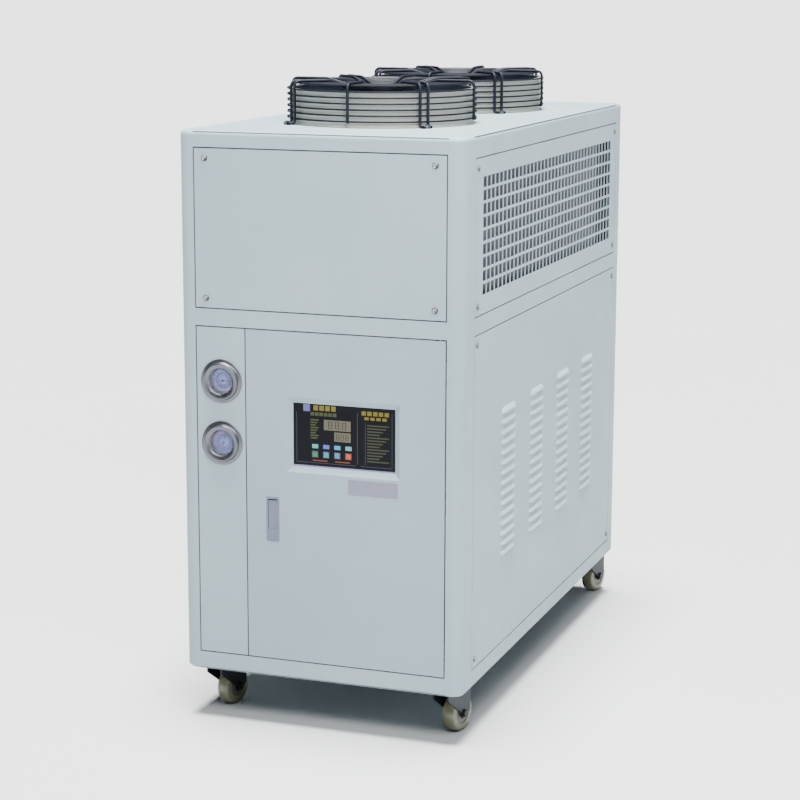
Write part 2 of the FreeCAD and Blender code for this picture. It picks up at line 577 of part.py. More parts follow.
def blade():
    """One swept and twisted fan blade, a closed shell of flat facets from its root in the hub to its tip."""
    stations, sections = int(number("blade_stations")), []
    for i in range(stations + 1):
        share = i / stations

        def between(root, tip):
            return number(root) + (number(tip) - number(root)) * share

        radius = between("hub_radius - 6", "blade_tip_radius")
        half, thick = between("blade_root_chord", "blade_tip_chord") / 2, number("blade_thickness") / 2
        turn = math.radians(between("blade_root_pitch", "blade_tip_pitch"))
        ahead = number("blade_sweep") * share * share
        ring = []
        for a, b in ((-half, -thick), (half, -thick), (half, thick), (-half, thick)):
            ring.append(Vector(radius, ahead + a * math.cos(turn) - b * math.sin(turn),
                               a * math.sin(turn) + b * math.cos(turn)))
        sections.append(ring)
    faces = [Part.Face(Part.makePolygon(ring + ring[:1])) for ring in (sections[0], sections[-1])]
    for low, high in zip(sections, sections[1:]):
        for k in range(4):
            a, b, c, d = low[k], low[(k + 1) % 4], high[(k + 1) % 4], high[k]
            faces.append(Part.Face(Part.makePolygon([a, b, c, a])))
            faces.append(Part.Face(Part.makePolygon([a, c, d, a])))
    shell = Part.Shell(faces)
    shell.sewShape()
    solid = Part.Solid(shell)
    if solid.Volume < 0:
        solid.reverse()
    return solid


def fans():
    """Both fans, each with its own rotor and guard; the rings and the motors are alike and stand still."""
    rings, motors = [], []
    plate_z = f"({TOP} + hub_plate_height)"
    rotor_top = f"({plate_z} - stator_height - rotor_gap)"
    for y, name in zip(fan_places(), ("front", "rear")):
        rings.append(cut(prism("ring_sides", "fan_ring_radius", "fan_ring_height", ("0", y, TOP), name="rim"),
                         prism("ring_sides", "fan_ring_radius - fan_ring_wall", "2 * fan_ring_height",
                               ("0", y, f"{TOP} - fan_ring_height / 2"), name="ring_inside"), name="fan_ring"))
        stator = prism("round_sides", "stator_radius", "stator_height", ("0", y, f"{plate_z} - stator_height"),
                       name="stator")
        bearing = cylinder("shaft_radius + shaft_play", "stator_height - 2", ("0", y, f"{plate_z} - stator_height"),
                           name="bearing")
        motors.append(cut(stator, bearing, name="motor"))
        hub = prism("hub_sides", "hub_radius", "rotor_height", ("0", "0", "-rotor_height / 2"), name="hub")
        shaft = cylinder("shaft_radius", "rotor_gap + stator_height - 4", ("0", "0", "rotor_height / 2"),
                         name="shaft")
        blades = []
        for i in range(int(number("blade_count"))):
            one = blade()
            one.rotate(Vector(0, 0, 0), Vector(0, 0, 1), 360 * i / number("blade_count"))
            blades.append(feature(one, "blade"))
        fan = fuse(hub, shaft, *blades, name="rotor")
        node(place(fan, "0", y, f"{rotor_top} - rotor_height / 2"), name + "_fan_rotor")
        node(place(feature(guard(), "guard"), "0", y, TOP), name + "_fan_guard")
    node(group(*rings), "fan_rings")
    node(group(*motors), "fan_motors")
    screws = []
    reach = "(guard_radius + foot_reach / 2 + 1)"
    for y in fan_places():
        for sx, sy in ((1, 1), (1, -1), (-1, 1), (-1, -1)):
            x = f"{sx} * {reach} * cos(45 deg)"
            screws.append(prism("screw_sides", "arm_pair_gap / 2 - guard_wire / 2 - 0.2", "guard_wire + screw_head",
                                (x, f"({y}) + {sy} * {reach} * cos(45 deg)", TOP)))
    node(group(*screws), "guard_screws")


# Casters: a plate each on the base, and a fork and a wheel that turn

def casters():
    plates = []
    plate_bottom = "(ground_gap - plate_sheet)"
    fork_top = f"({plate_bottom} - fork_top_gap)"
    fork_bottom = f"({fork_top} - fork_top_thickness)"
    inner = "(wheel_width / 2 + wheel_side_gap)"
    for sx, sy, name in ((-1, -1, "front_left"), (1, -1, "front_right"),
                         (-1, 1, "rear_left"), (1, 1, "rear_right")):
        x, y = f"{sx} * ({HALF_WIDTH} - caster_inset_x)", f"{sy} * ({HALF_DEPTH} - caster_inset_y)"
        plate = box(centred(x, "plate_width"), centred(y, "plate_length"), (plate_bottom, "ground_gap"), "plate")
        race = prism("round_sides", "race_radius", "fork_top_gap - race_gap", (x, y, f"{fork_top} + race_gap"),
                     name="race")
        pin = cylinder("kingpin_radius", f"{plate_bottom} - {fork_bottom} + 1", (x, y, f"{fork_bottom} - 1"),
                       name="kingpin")
        head = prism("6", "kingpin_head", "3", (x, y, f"{fork_bottom} - race_gap - 3"), name="kingpin_head")
        plates.append(fuse(plate, race, pin, head, name="caster_plate"))

        # Fork: a top plate over the kingpin and two cheeks that trail back to the axle
        disc = box(centred("0", f"2 * ({inner} + fork_sheet)"), ("-fork_front", "caster_trail + fork_back"),
                   (fork_bottom, fork_top), "fork_top")
        bore = cylinder("kingpin_radius + axle_play", "wheel_radius", ("0", "0", "2 * wheel_radius"),
                        name="bore")
        edge = [("-fork_front", fork_top), ("caster_trail + fork_back", fork_top),
                ("caster_trail + fork_back", "wheel_radius + 4"), ("caster_trail + 8", "wheel_radius - 9"),
                ("caster_trail - 8", "wheel_radius - 9"), ("caster_trail - 13", "wheel_radius + 4"),
                ("-fork_front", f"{fork_top} - 16")]
        cheek, second = [padded(edge, "fork_sheet", "YZ_Plane", "cheek") for _ in range(2)]
        axle = cylinder("axle_radius", f"2 * ({inner} + fork_sheet)",
                        (f"-({inner} + fork_sheet)", "caster_trail", "wheel_radius"), "X", "axle")
        nuts = [prism("6", "axle_radius + 4", "4", (at, "caster_trail", "wheel_radius"), way)
                for at, way in ((f"{inner} + fork_sheet", "X"), (f"-({inner} + fork_sheet)", "-X"))]
        place(cheek, inner)
        place(second, f"-({inner} + fork_sheet)")
        fork = fuse(cut(disc, bore), cheek, second, axle, *nuts, name="fork")
        node(turned_about_z(fork, "-caster_yaw", x, y), name + "_caster_fork")

        axle_at = ("-wheel_width / 2", "caster_trail", "wheel_radius")
        wheel = cut(prism("round_sides", "wheel_radius", "wheel_width", axle_at, "X", "tread"),
                    cylinder("axle_radius + axle_play", "wheel_width", axle_at, "X", "wheel_bore"), name="wheel")
        node(turned_about_z(wheel, "-caster_yaw", x, y), name + "_caster_wheel")
    node(group(*plates), "caster_plates")


# Front: door with its hinges, latch and controller, and the two gauges

def door():
    """The door: a folded sheet with the sloped recess of the controller and the way of the latch."""
    x = (f"{SPLIT_X} + door_gap / 2", f"{PANEL_X} - door_gap")
    z = (f"{LOWER_BOTTOM} + door_gap", f"{LOWER_TOP} - door_gap")
    back = f"({FRONT} + panel_thickness)"
    face = box(x, (FRONT, back), z, "door_face")
    outer_x = (f"{SPLIT_X} + mullion_width / 2 + 1", f"{PANEL_X} - hinge_inset - hinge_overlap")
    outer_z = (f"{z[0]} + door_return_inset", f"{z[1]} - door_return_inset")
    fold_y = (back, f"{back} + door_return_depth")
    inner_x, inner_z = [(f"{p[0]} + return_wall", f"{p[1]} - return_wall") for p in (outer_x, outer_z)]
    folds = cut(box(outer_x, fold_y, outer_z, "door_folds"), box(inner_x, fold_y, inner_z, "door_hollow"))
    centre_z = "(ground_gap + controller_centre)"
    half_w, half_h = "(controller_width / 2)", "(controller_height / 2)"

    def funnel(grow, deep, name):
        """The solid inside the recess walls, as a loft from the face to the panel's edge."""
        mouth, floor = f"bezel_slope + {grow}", grow
        wires = []
        for wide, y in ((mouth, FRONT), (floor, f"{FRONT} + {deep}")):
            w, h, at = number(f"{half_w} + {wide}"), number(f"{half_h} + {wide}"), number(y)
            cx, cz = number(CONTROLLER_X), number(centre_z)
            wires.append(Part.makePolygon([Vector(cx + a * w, at, cz + b * h)
                                           for a, b in ((-1, -1), (1, -1), (1, 1), (-1, 1), (-1, -1))]))
        return feature(Part.makeLoft(wires, True, True), name)

    recess = funnel("return_wall", "bezel_depth", "recess_outside")
    hollow = funnel("0", "bezel_depth", "recess_inside")
    seat_back = f"{FRONT} + bezel_depth + controller_plate"
    seat_wall = box(centred(CONTROLLER_X, "controller_width + 2 * return_wall + controller_play"),
                    (f"{FRONT} + bezel_depth", f"{seat_back} + return_wall"),
                    centred(centre_z, "controller_height + 2 * return_wall + controller_play"), "seat_wall")
    seat = box(centred(CONTROLLER_X, "controller_width + controller_play"),
               (f"{FRONT} + bezel_depth", seat_back),
               centred(centre_z, "controller_height + controller_play"), "controller_seat")
    way = box(centred(CONTROLLER_X, "controller_width - 2 * controller_lip"),
              (f"{FRONT} - 1", f"{seat_back} + wall"),
              centred(centre_z, "controller_height - 2 * controller_lip"), "controller_way")
    lock_z = "(ground_gap + lock_centre)"
    lock_way = box(centred(LOCK_X, "lock_width - 2 * lock_wall + 1"), (f"{FRONT} - 1", f"{back} + 1"),
                   centred(lock_z, "lock_height - 2 * lock_wall + 1"), "lock_way")
    pin_x, pin_y = f"{PANEL_X} - door_gap - hinge_inset", f"{FRONT} + hinge_setback"
    lugs = []
    for low in (f"{z[0]} + door_return_inset / 2", f"{z[1]} - door_return_inset / 2 - hinge_leaf"):
        lug = box(centred(pin_x, "2 * hinge_reach"), (back, f"{pin_y} + hinge_reach - 2"),
                  (low, f"{low} + hinge_leaf"), "door_lug")
        hole = cylinder("hinge_pin_radius + hinge_play", "3 * hinge_leaf", (pin_x, pin_y, f"{low} - hinge_leaf"),
                        name="lug_hole")
        lugs.append(cut(lug, hole, name="lug"))
    leaf = fuse(cut(face, lock_way), folds, recess, seat_wall, *lugs, name="door_solid")
    node(cut(leaf, hollow, seat, way), "door")


def hinge_brackets():
    """The cabinet's half of each hinge: a leaf behind the rail and an upright pin into the door's lug."""
    pin_x, pin_y = f"{PANEL_X} - door_gap - hinge_inset", f"{FRONT} + hinge_setback"
    leaf_x = (f"{pin_x} - hinge_reach", f"{PANEL_X} + leaf_reach")
    leaf_y = (f"{FRONT} + wall", f"{FRONT} + wall + hinge_reach + 4")
    brackets = []
    bottom = (f"{LOWER_BOTTOM} - 2 - hinge_leaf", f"{LOWER_BOTTOM} - 2")
    top = (f"{LOWER_TOP} + 2", f"{LOWER_TOP} + 2 + hinge_leaf")
    reach = "(door_gap + door_return_inset / 2 + hinge_leaf + 2)"
    brackets.append(fuse(box(leaf_x, leaf_y, bottom, "leaf"),
                         cylinder("hinge_pin_radius", f"{reach} + hinge_leaf", (pin_x, pin_y, bottom[0]),
                                  name="pin")))
    brackets.append(fuse(box(leaf_x, leaf_y, top, "leaf"),
                         cylinder("hinge_pin_radius", f"{reach} + hinge_leaf",
                                  (pin_x, pin_y, f"{top[0]} - {reach}"), name="pin")))
    node(group(*brackets), "hinge_brackets")


def latch():
    """The flush latch: housing, hinged handle, push button and sliding bolt."""
    z = "(ground_gap + lock_centre)"
    rim = box(centred(LOCK_X, "lock_width"), (f"{FRONT} - lock_rim", FRONT), centred(z, "lock_height"),
              "lock_rim")
    cup_x, cup_z = centred(LOCK_X, "lock_width - 2 * lock_wall"), centred(z, "lock_height - 2 * lock_wall")
    cup = box(cup_x, (FRONT, f"{FRONT} + lock_depth"), cup_z, "lock_cup")
    pocket_x = centred(LOCK_X, "lock_width - 4 * lock_wall + 2 * handle_play")
    pocket_top = f"{z} + lock_height / 2 - 2 * lock_wall"
    pocket = box(pocket_x, (f"{FRONT} - 2 * lock_rim", f"{FRONT} + handle_thickness + 1"),
                 (f"{pocket_top} - handle_length - 2 * handle_play", pocket_top), "handle_pocket")
    button_z = f"({z} - lock_height / 2 + 2 * lock_wall + button_radius)"
    button_hole = prism("small_sides", "button_radius + 2 * shaft_play", "button_way",
                        (LOCK_X, f"{FRONT} - 2 * lock_rim", button_z), "Y", "button_hole")
    bolt_z = (f"{z} - 8", f"{z} - 8 + bolt_height")
    bolt_y = (f"{FRONT} + lock_depth - 2 - bolt_thickness", f"{FRONT} + lock_depth - 2")
    slot = box((f"{LOCK_X} - lock_width", f"{LOCK_X} + lock_width / 2 - 2 * lock_wall"),
               (f"{bolt_y[0]} - bolt_play", f"{bolt_y[1]} + bolt_play"),
               (f"{bolt_z[0]} - bolt_play", f"{bolt_z[1]} + bolt_play"), "bolt_slot")
    # The pivot pin of the handle is part of the housing and fills its knuckle
    pin_z, pin_y = f"({pocket_top} - 5)", f"({FRONT} + handle_thickness / 2)"
    pin = cylinder("handle_pin_radius", "lock_width - 2 * lock_wall - 1",
                   (f"{LOCK_X} - (lock_width - 2 * lock_wall - 1) / 2", pin_y, pin_z), "X", "handle_pin")
    body = cut(fuse(rim, cup, name="lock_shell"), pocket, button_hole, slot)
    node(fuse(body, pin, name="latch_body"), "lock_body")

    grip = box(centred(LOCK_X, "lock_width - 4 * lock_wall"),
               (FRONT, f"{FRONT} + handle_thickness"),
               (f"{pocket_top} - handle_play - handle_length", f"{pocket_top} - handle_top_gap"), "grip")
    eye = cylinder("handle_pin_radius + shaft_play", "lock_width", (f"{LOCK_X} - lock_width / 2", pin_y, pin_z),
                   "X", "eye")
    node(cut(grip, eye), "lock_handle")
    node(prism("small_sides", "button_radius", "button_length",
               (LOCK_X, f"{FRONT} - lock_rim - button_rise", button_z), "Y", "button"), "lock_button")
    bolt_x = (f"{SPLIT_X} + mullion_width / 2 + bolt_clear", f"{LOCK_X} - bolt_tail")
    node(box(bolt_x, bolt_y, bolt_z, "bolt"), "lock_bolt")


def controller():
    """The controller: a flat front with its housing and two display windows, and four keys."""
    z = "(ground_gap + controller_centre)"
    front_y = f"({FRONT} + bezel_depth)"
    plate = box(centred(CONTROLLER_X, "controller_width"), (front_y, f"{front_y} + controller_plate"),
                centred(z, "controller_height"), "controller_plate")
    housing = box(centred(CONTROLLER_X, "controller_width - 2 * controller_box_inset"),
                  (f"{front_y} + controller_plate", f"{front_y} + controller_plate + controller_box_depth"),
                  centred(z, "controller_height - 2 * controller_box_inset"), "controller_housing")
    pockets, keys = [], []
    for i in range(4):
        across, up = f"{CONTROLLER_X} + key_x + {i} * key_pitch", f"{z} + key_z"
        pockets.append(box(centred(across, "key_size + 2 * key_play"),
                           (f"{front_y} - 1", f"{front_y} + key_pocket_depth"),
                           centred(up, "key_size + 2 * key_play"), "key_pocket"))
        keys.append(box(centred(across, "key_size"), (f"{front_y} - key_rise", f"{front_y} + key_depth"),
                        centred(up, "key_size"), "key"))
    spans = (("display_left", "display_bottom", "display_top"),
             ("small_display_left", "small_display_bottom", "small_display_top"))
    windows = [box((f"{CONTROLLER_X} + {left}", f"{CONTROLLER_X} + display_right"),
                   (f"{front_y} - display_rise", front_y), (f"{z} + {low}", f"{z} + {high}"), "display")
               for left, low, high in spans]
    node(cut(fuse(plate, housing, *windows, name="controller_solid"), *pockets), "controller")
    for i, key in enumerate(keys, 1):
        node(key, f"key_{i}")


def gauges():
    """Two flanged pressure gauges in the strip: case, dial, needle and lens each."""
    cases, dials, lenses = [], [], []
    bottom = "-gauge_cup_depth + gauge_bezel_rise"
    for height, angle, name in (("upper_gauge", "upper_needle_angle", "upper"),
                                ("lower_gauge", "lower_needle_angle", "lower")):
        at = (GAUGE_X, FRONT, f"ground_gap + {height}")
        x, y, z = at

        def disc(radius, length, start, piece, sides="round_sides"):
            """A many-sided disc that runs out of the panel from its start."""
            return prism(sides, radius, length, (x, f"{y} - ({start})", z), "-Y", piece)

        flange = disc("gauge_flange_radius", "gauge_flange", "0", "flange")
        body = disc("gauge_body_radius", "gauge_body_depth + gauge_flange", "-gauge_body_depth", "gauge_body")
        bezel = disc("gauge_bezel_radius", "gauge_bezel_rise", "0", "bezel")
        cup = disc("gauge_window_radius", "gauge_cup_depth + 1", bottom, "gauge_cup")
        cases.append(cut(fuse(flange, body, bezel, name="gauge_solid"), cup))
        hole = disc("needle_shaft_radius + needle_play", "3 * dial_thickness", f"{bottom} - dial_thickness",
                    "dial_hole", "small_sides")
        dials.append(cut(disc("gauge_window_radius", "dial_thickness", bottom, "dial"), hole))
        lenses.append(disc("gauge_window_radius", "lens_thickness", "gauge_bezel_rise - 1 - lens_thickness",
                           "lens"))
        # Needle: built pointing up at its own height above the dial, then turned to its reading
        low = f"({bottom} + dial_thickness + needle_height)"
        pointer = box(centred("0", "needle_width"), (f"-({low} + needle_thickness)", f"-{low}"),
                      ("-needle_length / 3", "needle_length"), "pointer")
        hub = prism("small_sides", "needle_hub_radius", "needle_thickness + 0.6", ("0", f"-{low}", "0"), "-Y",
                    "needle_hub")
        shaft = prism("small_sides", "needle_shaft_radius", "needle_height + dial_thickness - 0.3",
                      ("0", f"-({bottom} + 0.3)", "0"), "-Y", "needle_shaft")
        needle = group(fuse(pointer, hub, shaft, name="needle"), name="reading")
        needle.Placement = Placement(Vector(0, 0, 0), Rotation(Vector(0, 1, 0), number(angle)))
        node(place(needle, *at), name + "_gauge_needle")
    node(group(*cases), "gauge_cases")
    node(group(*dials), "gauge_dials")
    node(group(*lenses), "gauge_lenses")


# Inside: coils, compressor, tank, pump, electrics and pipes

def coil(side):
    """A finned coil behind one grille: a comb of fins with the header pipe at its back end."""
    fins, deep = int(number("coil_fins")), number("coil_fin_depth")
    outer = number(f"{HALF_WIDTH} - wall - coil_gap")
    inner = outer - number("coil_thickness")
    front, back = number(f"coil_inset - {PANEL_Y}"), number(COIL_BACK)
    reach, link = number("header_reach"), number("coil_link")
    pitch = (back - front) / (2 * fins)
    points = [(inner, front)]
    for i in range(fins):
        y = front + 2 * i * pitch
        points += [(outer, y), (outer, y + pitch), (outer - deep, y + pitch), (outer - deep, y + 2 * pitch)]
    points += [(inner, back), (inner, front)]
    low, high = number(TRAY_TOP), number("coil_height")
    comb = Part.Face(Part.makePolygon([Vector(x, y, low) for x, y in points])).extrude(Vector(0, 0, high))
    middle = (inner + outer) / 2
    header = Part.makeCylinder(number("header_radius"), high, Vector(middle, back + reach, low))
    links = [Part.makeBox(link, reach, link, Vector(middle - link / 2, back, low + share * high))
             for share in (0.15, 0.8)]
    shape = comb.multiFuse([header] + links)
    if side < 0:
        shape = shape.mirror(Vector(0, 0, 0), Vector(1, 0, 0))
    return feature(shape, "coil")


def pipe(points, radius):
    """A pipe along straight runs, each corner taken in two half turns."""
    bend, corners = number("pipe_bend"), [Vector(*p) for p in points]
    route = [corners[0]]
    for before, corner, after in zip(corners, corners[1:], corners[2:]):
        for other in (before, after):
            route.append(corner + (other - corner).normalize() * bend / 2)
    route.append(corners[-1])
    return feature(swept([tuple(p) for p in route], radius, int(number("pipe_sides"))), "pipe")


def gas_pipes():
    """The copper pipes: discharge to the coils through the tray, and suction from the tank."""
    radius = number("gas_pipe_radius")
    x, y = number(COMPRESSOR_X), number(COMPRESSOR_Y)
    top = number(f"{FLOOR} + mount_height + compressor_foot_sheet - 1 + compressor_height")
    over_tray = number(f"{TRAY_TOP} + discharge_over_tray")
    header_x = number(f"{HALF_WIDTH} - wall - coil_gap - coil_thickness / 2 - header_radius")
    header_y = number(f"{COIL_BACK} + header_reach")
    slot_y = number(f"-{HALF_DEPTH} / 2 + discharge_inset")
    high = top + number("discharge_rise")
    discharge = pipe([(x, y, top), (x, y, high), (0, slot_y, high), (0, slot_y, over_tray),
                      (0, header_y, over_tray), (header_x, header_y, over_tray)], radius)
    lid = number(f"{FLOOR} + tank_height + tank_lid")
    tank_x, tank_y = x - number("suction_offset"), number(f"{TANK_Y} - suction_offset")
    back_x, high = x + number("suction_port"), lid + number("suction_rise")
    suction = pipe([(tank_x, tank_y, lid), (tank_x, tank_y, high), (back_x, y, high), (back_x, y, top)],
                   radius)
    return group(discharge, suction, name="gas_pipes")


def water_pipes():
    """The hoses: tank to pump, pump to the outlet, and the inlet to the tank."""
    radius = number("water_pipe_radius")
    x, y, z = number(PUMP_X), number(PUMP_Y), number(f"{FLOOR} + pump_height")
    tank_front, tank_back = number(f"{TANK_Y} - tank_length / 2"), number(f"{TANK_Y} + tank_length / 2")
    port_x, inner = number(PORT_X), number(f"{HALF_DEPTH} - port_inner")
    inlet, outlet = number("ground_gap + inlet_height"), number("ground_gap + outlet_height")
    side = -number("tank_width / 2 + press_gap")
    start_y, start_z = y - number("volute_width") / 2, z + number("volute_radius + pump_outlet")
    high, turn_y = start_z + number("press_rise"), tank_back + number("press_inset")
    draw = pipe([(x, y, z), (x, tank_front, z)], radius)
    back = pipe([(port_x, inner, inlet), (port_x, tank_back, inlet)], radius)
    press = pipe([(x, start_y, start_z), (x, start_y, high), (side, start_y, high), (side, turn_y, high),
                  (side, turn_y, outlet), (port_x, turn_y, outlet), (port_x, inner, outlet)], radius)
    return group(draw, back, press, name="hoses")


def machine():
    """What the cabinet holds: condensers, compressor on rubber mounts, tank, pump, electrics and pipes."""
    node(coil(-1), "left_condenser")
    node(coil(1), "right_condenser")

    foot_z = f"({FLOOR} + mount_height)"
    can_z = f"{foot_z} + compressor_foot_sheet - 1"
    can = prism("round_sides", "compressor_radius", "compressor_height - compressor_dome",
                (COMPRESSOR_X, COMPRESSOR_Y, can_z), name="compressor_can")
    dome = prism("round_sides", "compressor_dome_radius", "compressor_height",
                 (COMPRESSOR_X, COMPRESSOR_Y, can_z), name="compressor_dome")
    feet = box(centred(COMPRESSOR_X, "2 * compressor_foot"), centred(COMPRESSOR_Y, "2 * compressor_foot"),
               (foot_z, f"{foot_z} + compressor_foot_sheet"), "feet")
    terminal = box((f"{COMPRESSOR_X} - compressor_radius - terminal_reach", COMPRESSOR_X),
                   centred(COMPRESSOR_Y, "terminal_width"),
                   (f"{foot_z} + terminal_low", f"{foot_z} + terminal_low + terminal_height"), "terminal_box")
    node(fuse(can, dome, feet, terminal, name="compressor"), "compressor")
    mounts = []
    for sx in (-1, 1):
        for sy in (-1, 1):
            mounts.append(prism("screw_sides", "mount_radius", "mount_height",
                                (f"{COMPRESSOR_X} + {sx} * (compressor_foot - mount_radius)",
                                 f"{COMPRESSOR_Y} + {sy} * (compressor_foot - mount_radius)", FLOOR), name="mount"))
    node(group(*mounts), "compressor_mounts")

    tank_top = f"({FLOOR} + tank_height)"
    tank_body = box(centred("0", "tank_width"), centred(TANK_Y, "tank_length"), (FLOOR, tank_top), "tank_body")
    lid = box(centred("0", "tank_width + 2 * tank_lid_reach"),
              centred(TANK_Y, "tank_length + 2 * tank_lid_reach"),
              (tank_top, f"{tank_top} + tank_lid"), "tank_rim")
    node(fuse(tank_body, lid, name="tank"), "water_tank")

    pump_z = f"({FLOOR} + pump_height)"
    motor = prism("round_sides", "pump_radius", "pump_length + 1",
                  (PUMP_X, f"{PUMP_Y} - pump_length - volute_width", pump_z), "Y", "pump_motor")
    volute = prism("round_sides", "volute_radius", "volute_width",
                   (PUMP_X, f"{PUMP_Y} - volute_width", pump_z), "Y", "volute")
    foot = box(centred(PUMP_X, "pump_foot_width"), (f"{PUMP_Y} - pump_length", f"{PUMP_Y} - volute_width - 20"),
               (FLOOR, pump_z), "pump_foot")
    outlet = prism("small_sides", "water_pipe_radius + 5", "volute_radius + pump_outlet",
                   (PUMP_X, f"{PUMP_Y} - volute_width / 2", pump_z), name="pump_outlet")
    node(fuse(motor, volute, foot, outlet, name="pump"), "water_pump")

    plate_y = (PLATE_Y, f"{PLATE_Y} + plate_sheet_back")
    tray_low = f"({TRAY_TOP} - tray_sheet)"
    plate = box(centred("plate_x", "plate_plan_width"), plate_y, (f"{tray_low} - plate_drop", tray_low), "plate")
    node(plate, "electrical_plate")
    contactor_low = f"({tray_low} - plate_drop + contactor_low)"
    row_low = f"({tray_low} - plate_drop + terminal_row_low)"
    blocks = [box(centred(f"plate_x + {i} * contactor_pitch", "contactor_width"),
                  (f"{PLATE_Y} - contactor_depth", PLATE_Y),
                  (contactor_low, f"{contactor_low} + contactor_height"), "contactor")
              for i in (-1, 0, 1)]
    blocks.append(box(centred("plate_x", "plate_plan_width - 2 * terminal_row_inset"),
                      (f"{PLATE_Y} - terminal_row_depth", PLATE_Y),
                      (row_low, f"{row_low} + terminal_row_height"), "terminal_row"))
    node(group(*blocks), "contactors")
    node(gas_pipes(), "refrigerant_pipes")
    node(water_pipes(), "water_pipes")


def back_ports():
    """Water inlet and outlet nipples with their nuts, and the cable gland."""
    ports = []
    sleeve = "(port_radius - port_sleeve)"
    for height in ("ground_gap + inlet_height", "ground_gap + outlet_height"):
        at = (PORT_X, f"{HALF_DEPTH} - port_inner", height)
        outside = (PORT_X, HALF_DEPTH, height)
        tube = prism("small_sides", sleeve, "port_inner + port_reach / 2", at, "Y", "sleeve")
        nipple = cylinder("port_radius", "port_reach", outside, "Y", "nipple")
        nut = prism("6", "port_nut_radius", "port_nut", outside, "Y", "port_nut")
        way = prism("small_sides", "port_bore", "port_inner + port_reach", at, "Y", "nipple_bore")
        ports.append(cut(fuse(tube, nipple, nut), way))
    node(group(*ports), "water_ports")
    at = (GLAND_X, f"{HALF_DEPTH} - gland_inner", "ground_gap + gland_height")
    gland = fuse(prism("small_sides", "gland_radius", "gland_inner + gland_reach", at, "Y", "gland_thread"),
                 prism("6", "gland_radius + 5", "6", (GLAND_X, HALF_DEPTH, "ground_gap + gland_height"), "Y",
                       "gland_nut"))
    node(cut(gland, prism("small_sides", "gland_bore", "2 * gland_inner + gland_reach", at, "Y", "gland_way")),
         "cable_gland")


cabinet()
partition_tray()
front_panels()
side_panels()
panel_screws()
fans()
casters()
door()
hinge_brackets()
latch()
controller()
gauges()
machine()
back_ports()
doc.recompute()

failed = [obj.Name for obj in doc.Objects if {"Invalid", "Error"} & set(obj.State)]
failed += [obj.Label for obj in nodes if obj.Shape.isNull() or not obj.Shape.isValid() or not obj.Shape.Solids]
if failed:
    raise RuntimeError(f"these objects failed: {failed}")
os.makedirs("parts", exist_ok=True)
for obj in nodes:
    obj.Shape.exportStep(f"parts/{obj.Label}.step")
print(len(nodes), "sub-parts written")
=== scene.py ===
"""Looks of the air-cooled chiller: a finish for every node, and finer pieces over the plain ones.

The finer pieces are wire guards, fan rings, grilles, louvres, coils, screws, gauges and wheels. The
controller's print, its key tops and a bare plate are added. Lengths are in metres, in the frame of
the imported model: the front faces -Y, the right side +X, +Z is up.
"""
import math

import bmesh
import bpy
from mathutils import Matrix, Vector


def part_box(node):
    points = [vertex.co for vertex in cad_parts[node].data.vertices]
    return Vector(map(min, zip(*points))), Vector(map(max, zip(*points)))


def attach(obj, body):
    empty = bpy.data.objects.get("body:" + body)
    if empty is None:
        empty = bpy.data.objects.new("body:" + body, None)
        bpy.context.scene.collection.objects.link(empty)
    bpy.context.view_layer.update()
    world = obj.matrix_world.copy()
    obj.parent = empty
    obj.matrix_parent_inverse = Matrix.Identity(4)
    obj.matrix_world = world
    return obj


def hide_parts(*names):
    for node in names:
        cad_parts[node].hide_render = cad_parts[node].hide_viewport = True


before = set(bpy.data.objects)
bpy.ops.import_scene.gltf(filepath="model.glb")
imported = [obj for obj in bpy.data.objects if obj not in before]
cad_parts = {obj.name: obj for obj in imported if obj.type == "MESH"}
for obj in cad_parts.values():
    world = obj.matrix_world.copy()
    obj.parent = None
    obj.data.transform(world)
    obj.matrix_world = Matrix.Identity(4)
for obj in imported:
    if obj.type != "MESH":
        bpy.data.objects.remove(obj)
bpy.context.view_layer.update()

MM = 0.001
CABINET_LOW, CABINET_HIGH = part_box("top_cover")
TOP = CABINET_HIGH[2]
FRONT = CABINET_LOW[1]
SIDE = CABINET_HIGH[0]
TRAY_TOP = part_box("partition_tray")[1][2]
# Half spans of the removable panels, across the front and along the sides
PANEL_X, PANEL_Y = 0.257, 0.529
CORNERS = ("front_left", "front_right", "rear_left", "rear_right")


# Colours and materials

# Most values of a noise texture lie between these
NOISE_LOW, NOISE_HIGH = 0.3, 0.7
# Sockets of a mix node in its colour mode
MIX_FACTOR, MIX_A, MIX_B, MIX_RESULT = 0, 6, 7, 2
# Depths under the skin for the painted shade: the middle and half width of the panels' seats, and
# where the shaded inside starts
SEAT_DEPTH, SEAT_HALF_BAND, INSIDE_DEPTH = 2.75 * MM, 1.15 * MM, 3.6 * MM


def linear(text):
    """A colour given as six sRGB digits, as the linear values that a shader takes."""
    out = []
    for i in (0, 2, 4):
        value = int(text[i:i + 2], 16) / 255
        out.append(value / 12.92 if value <= 0.04045 else ((value + 0.055) / 1.055) ** 2.4)
    return (*out, 1.0)


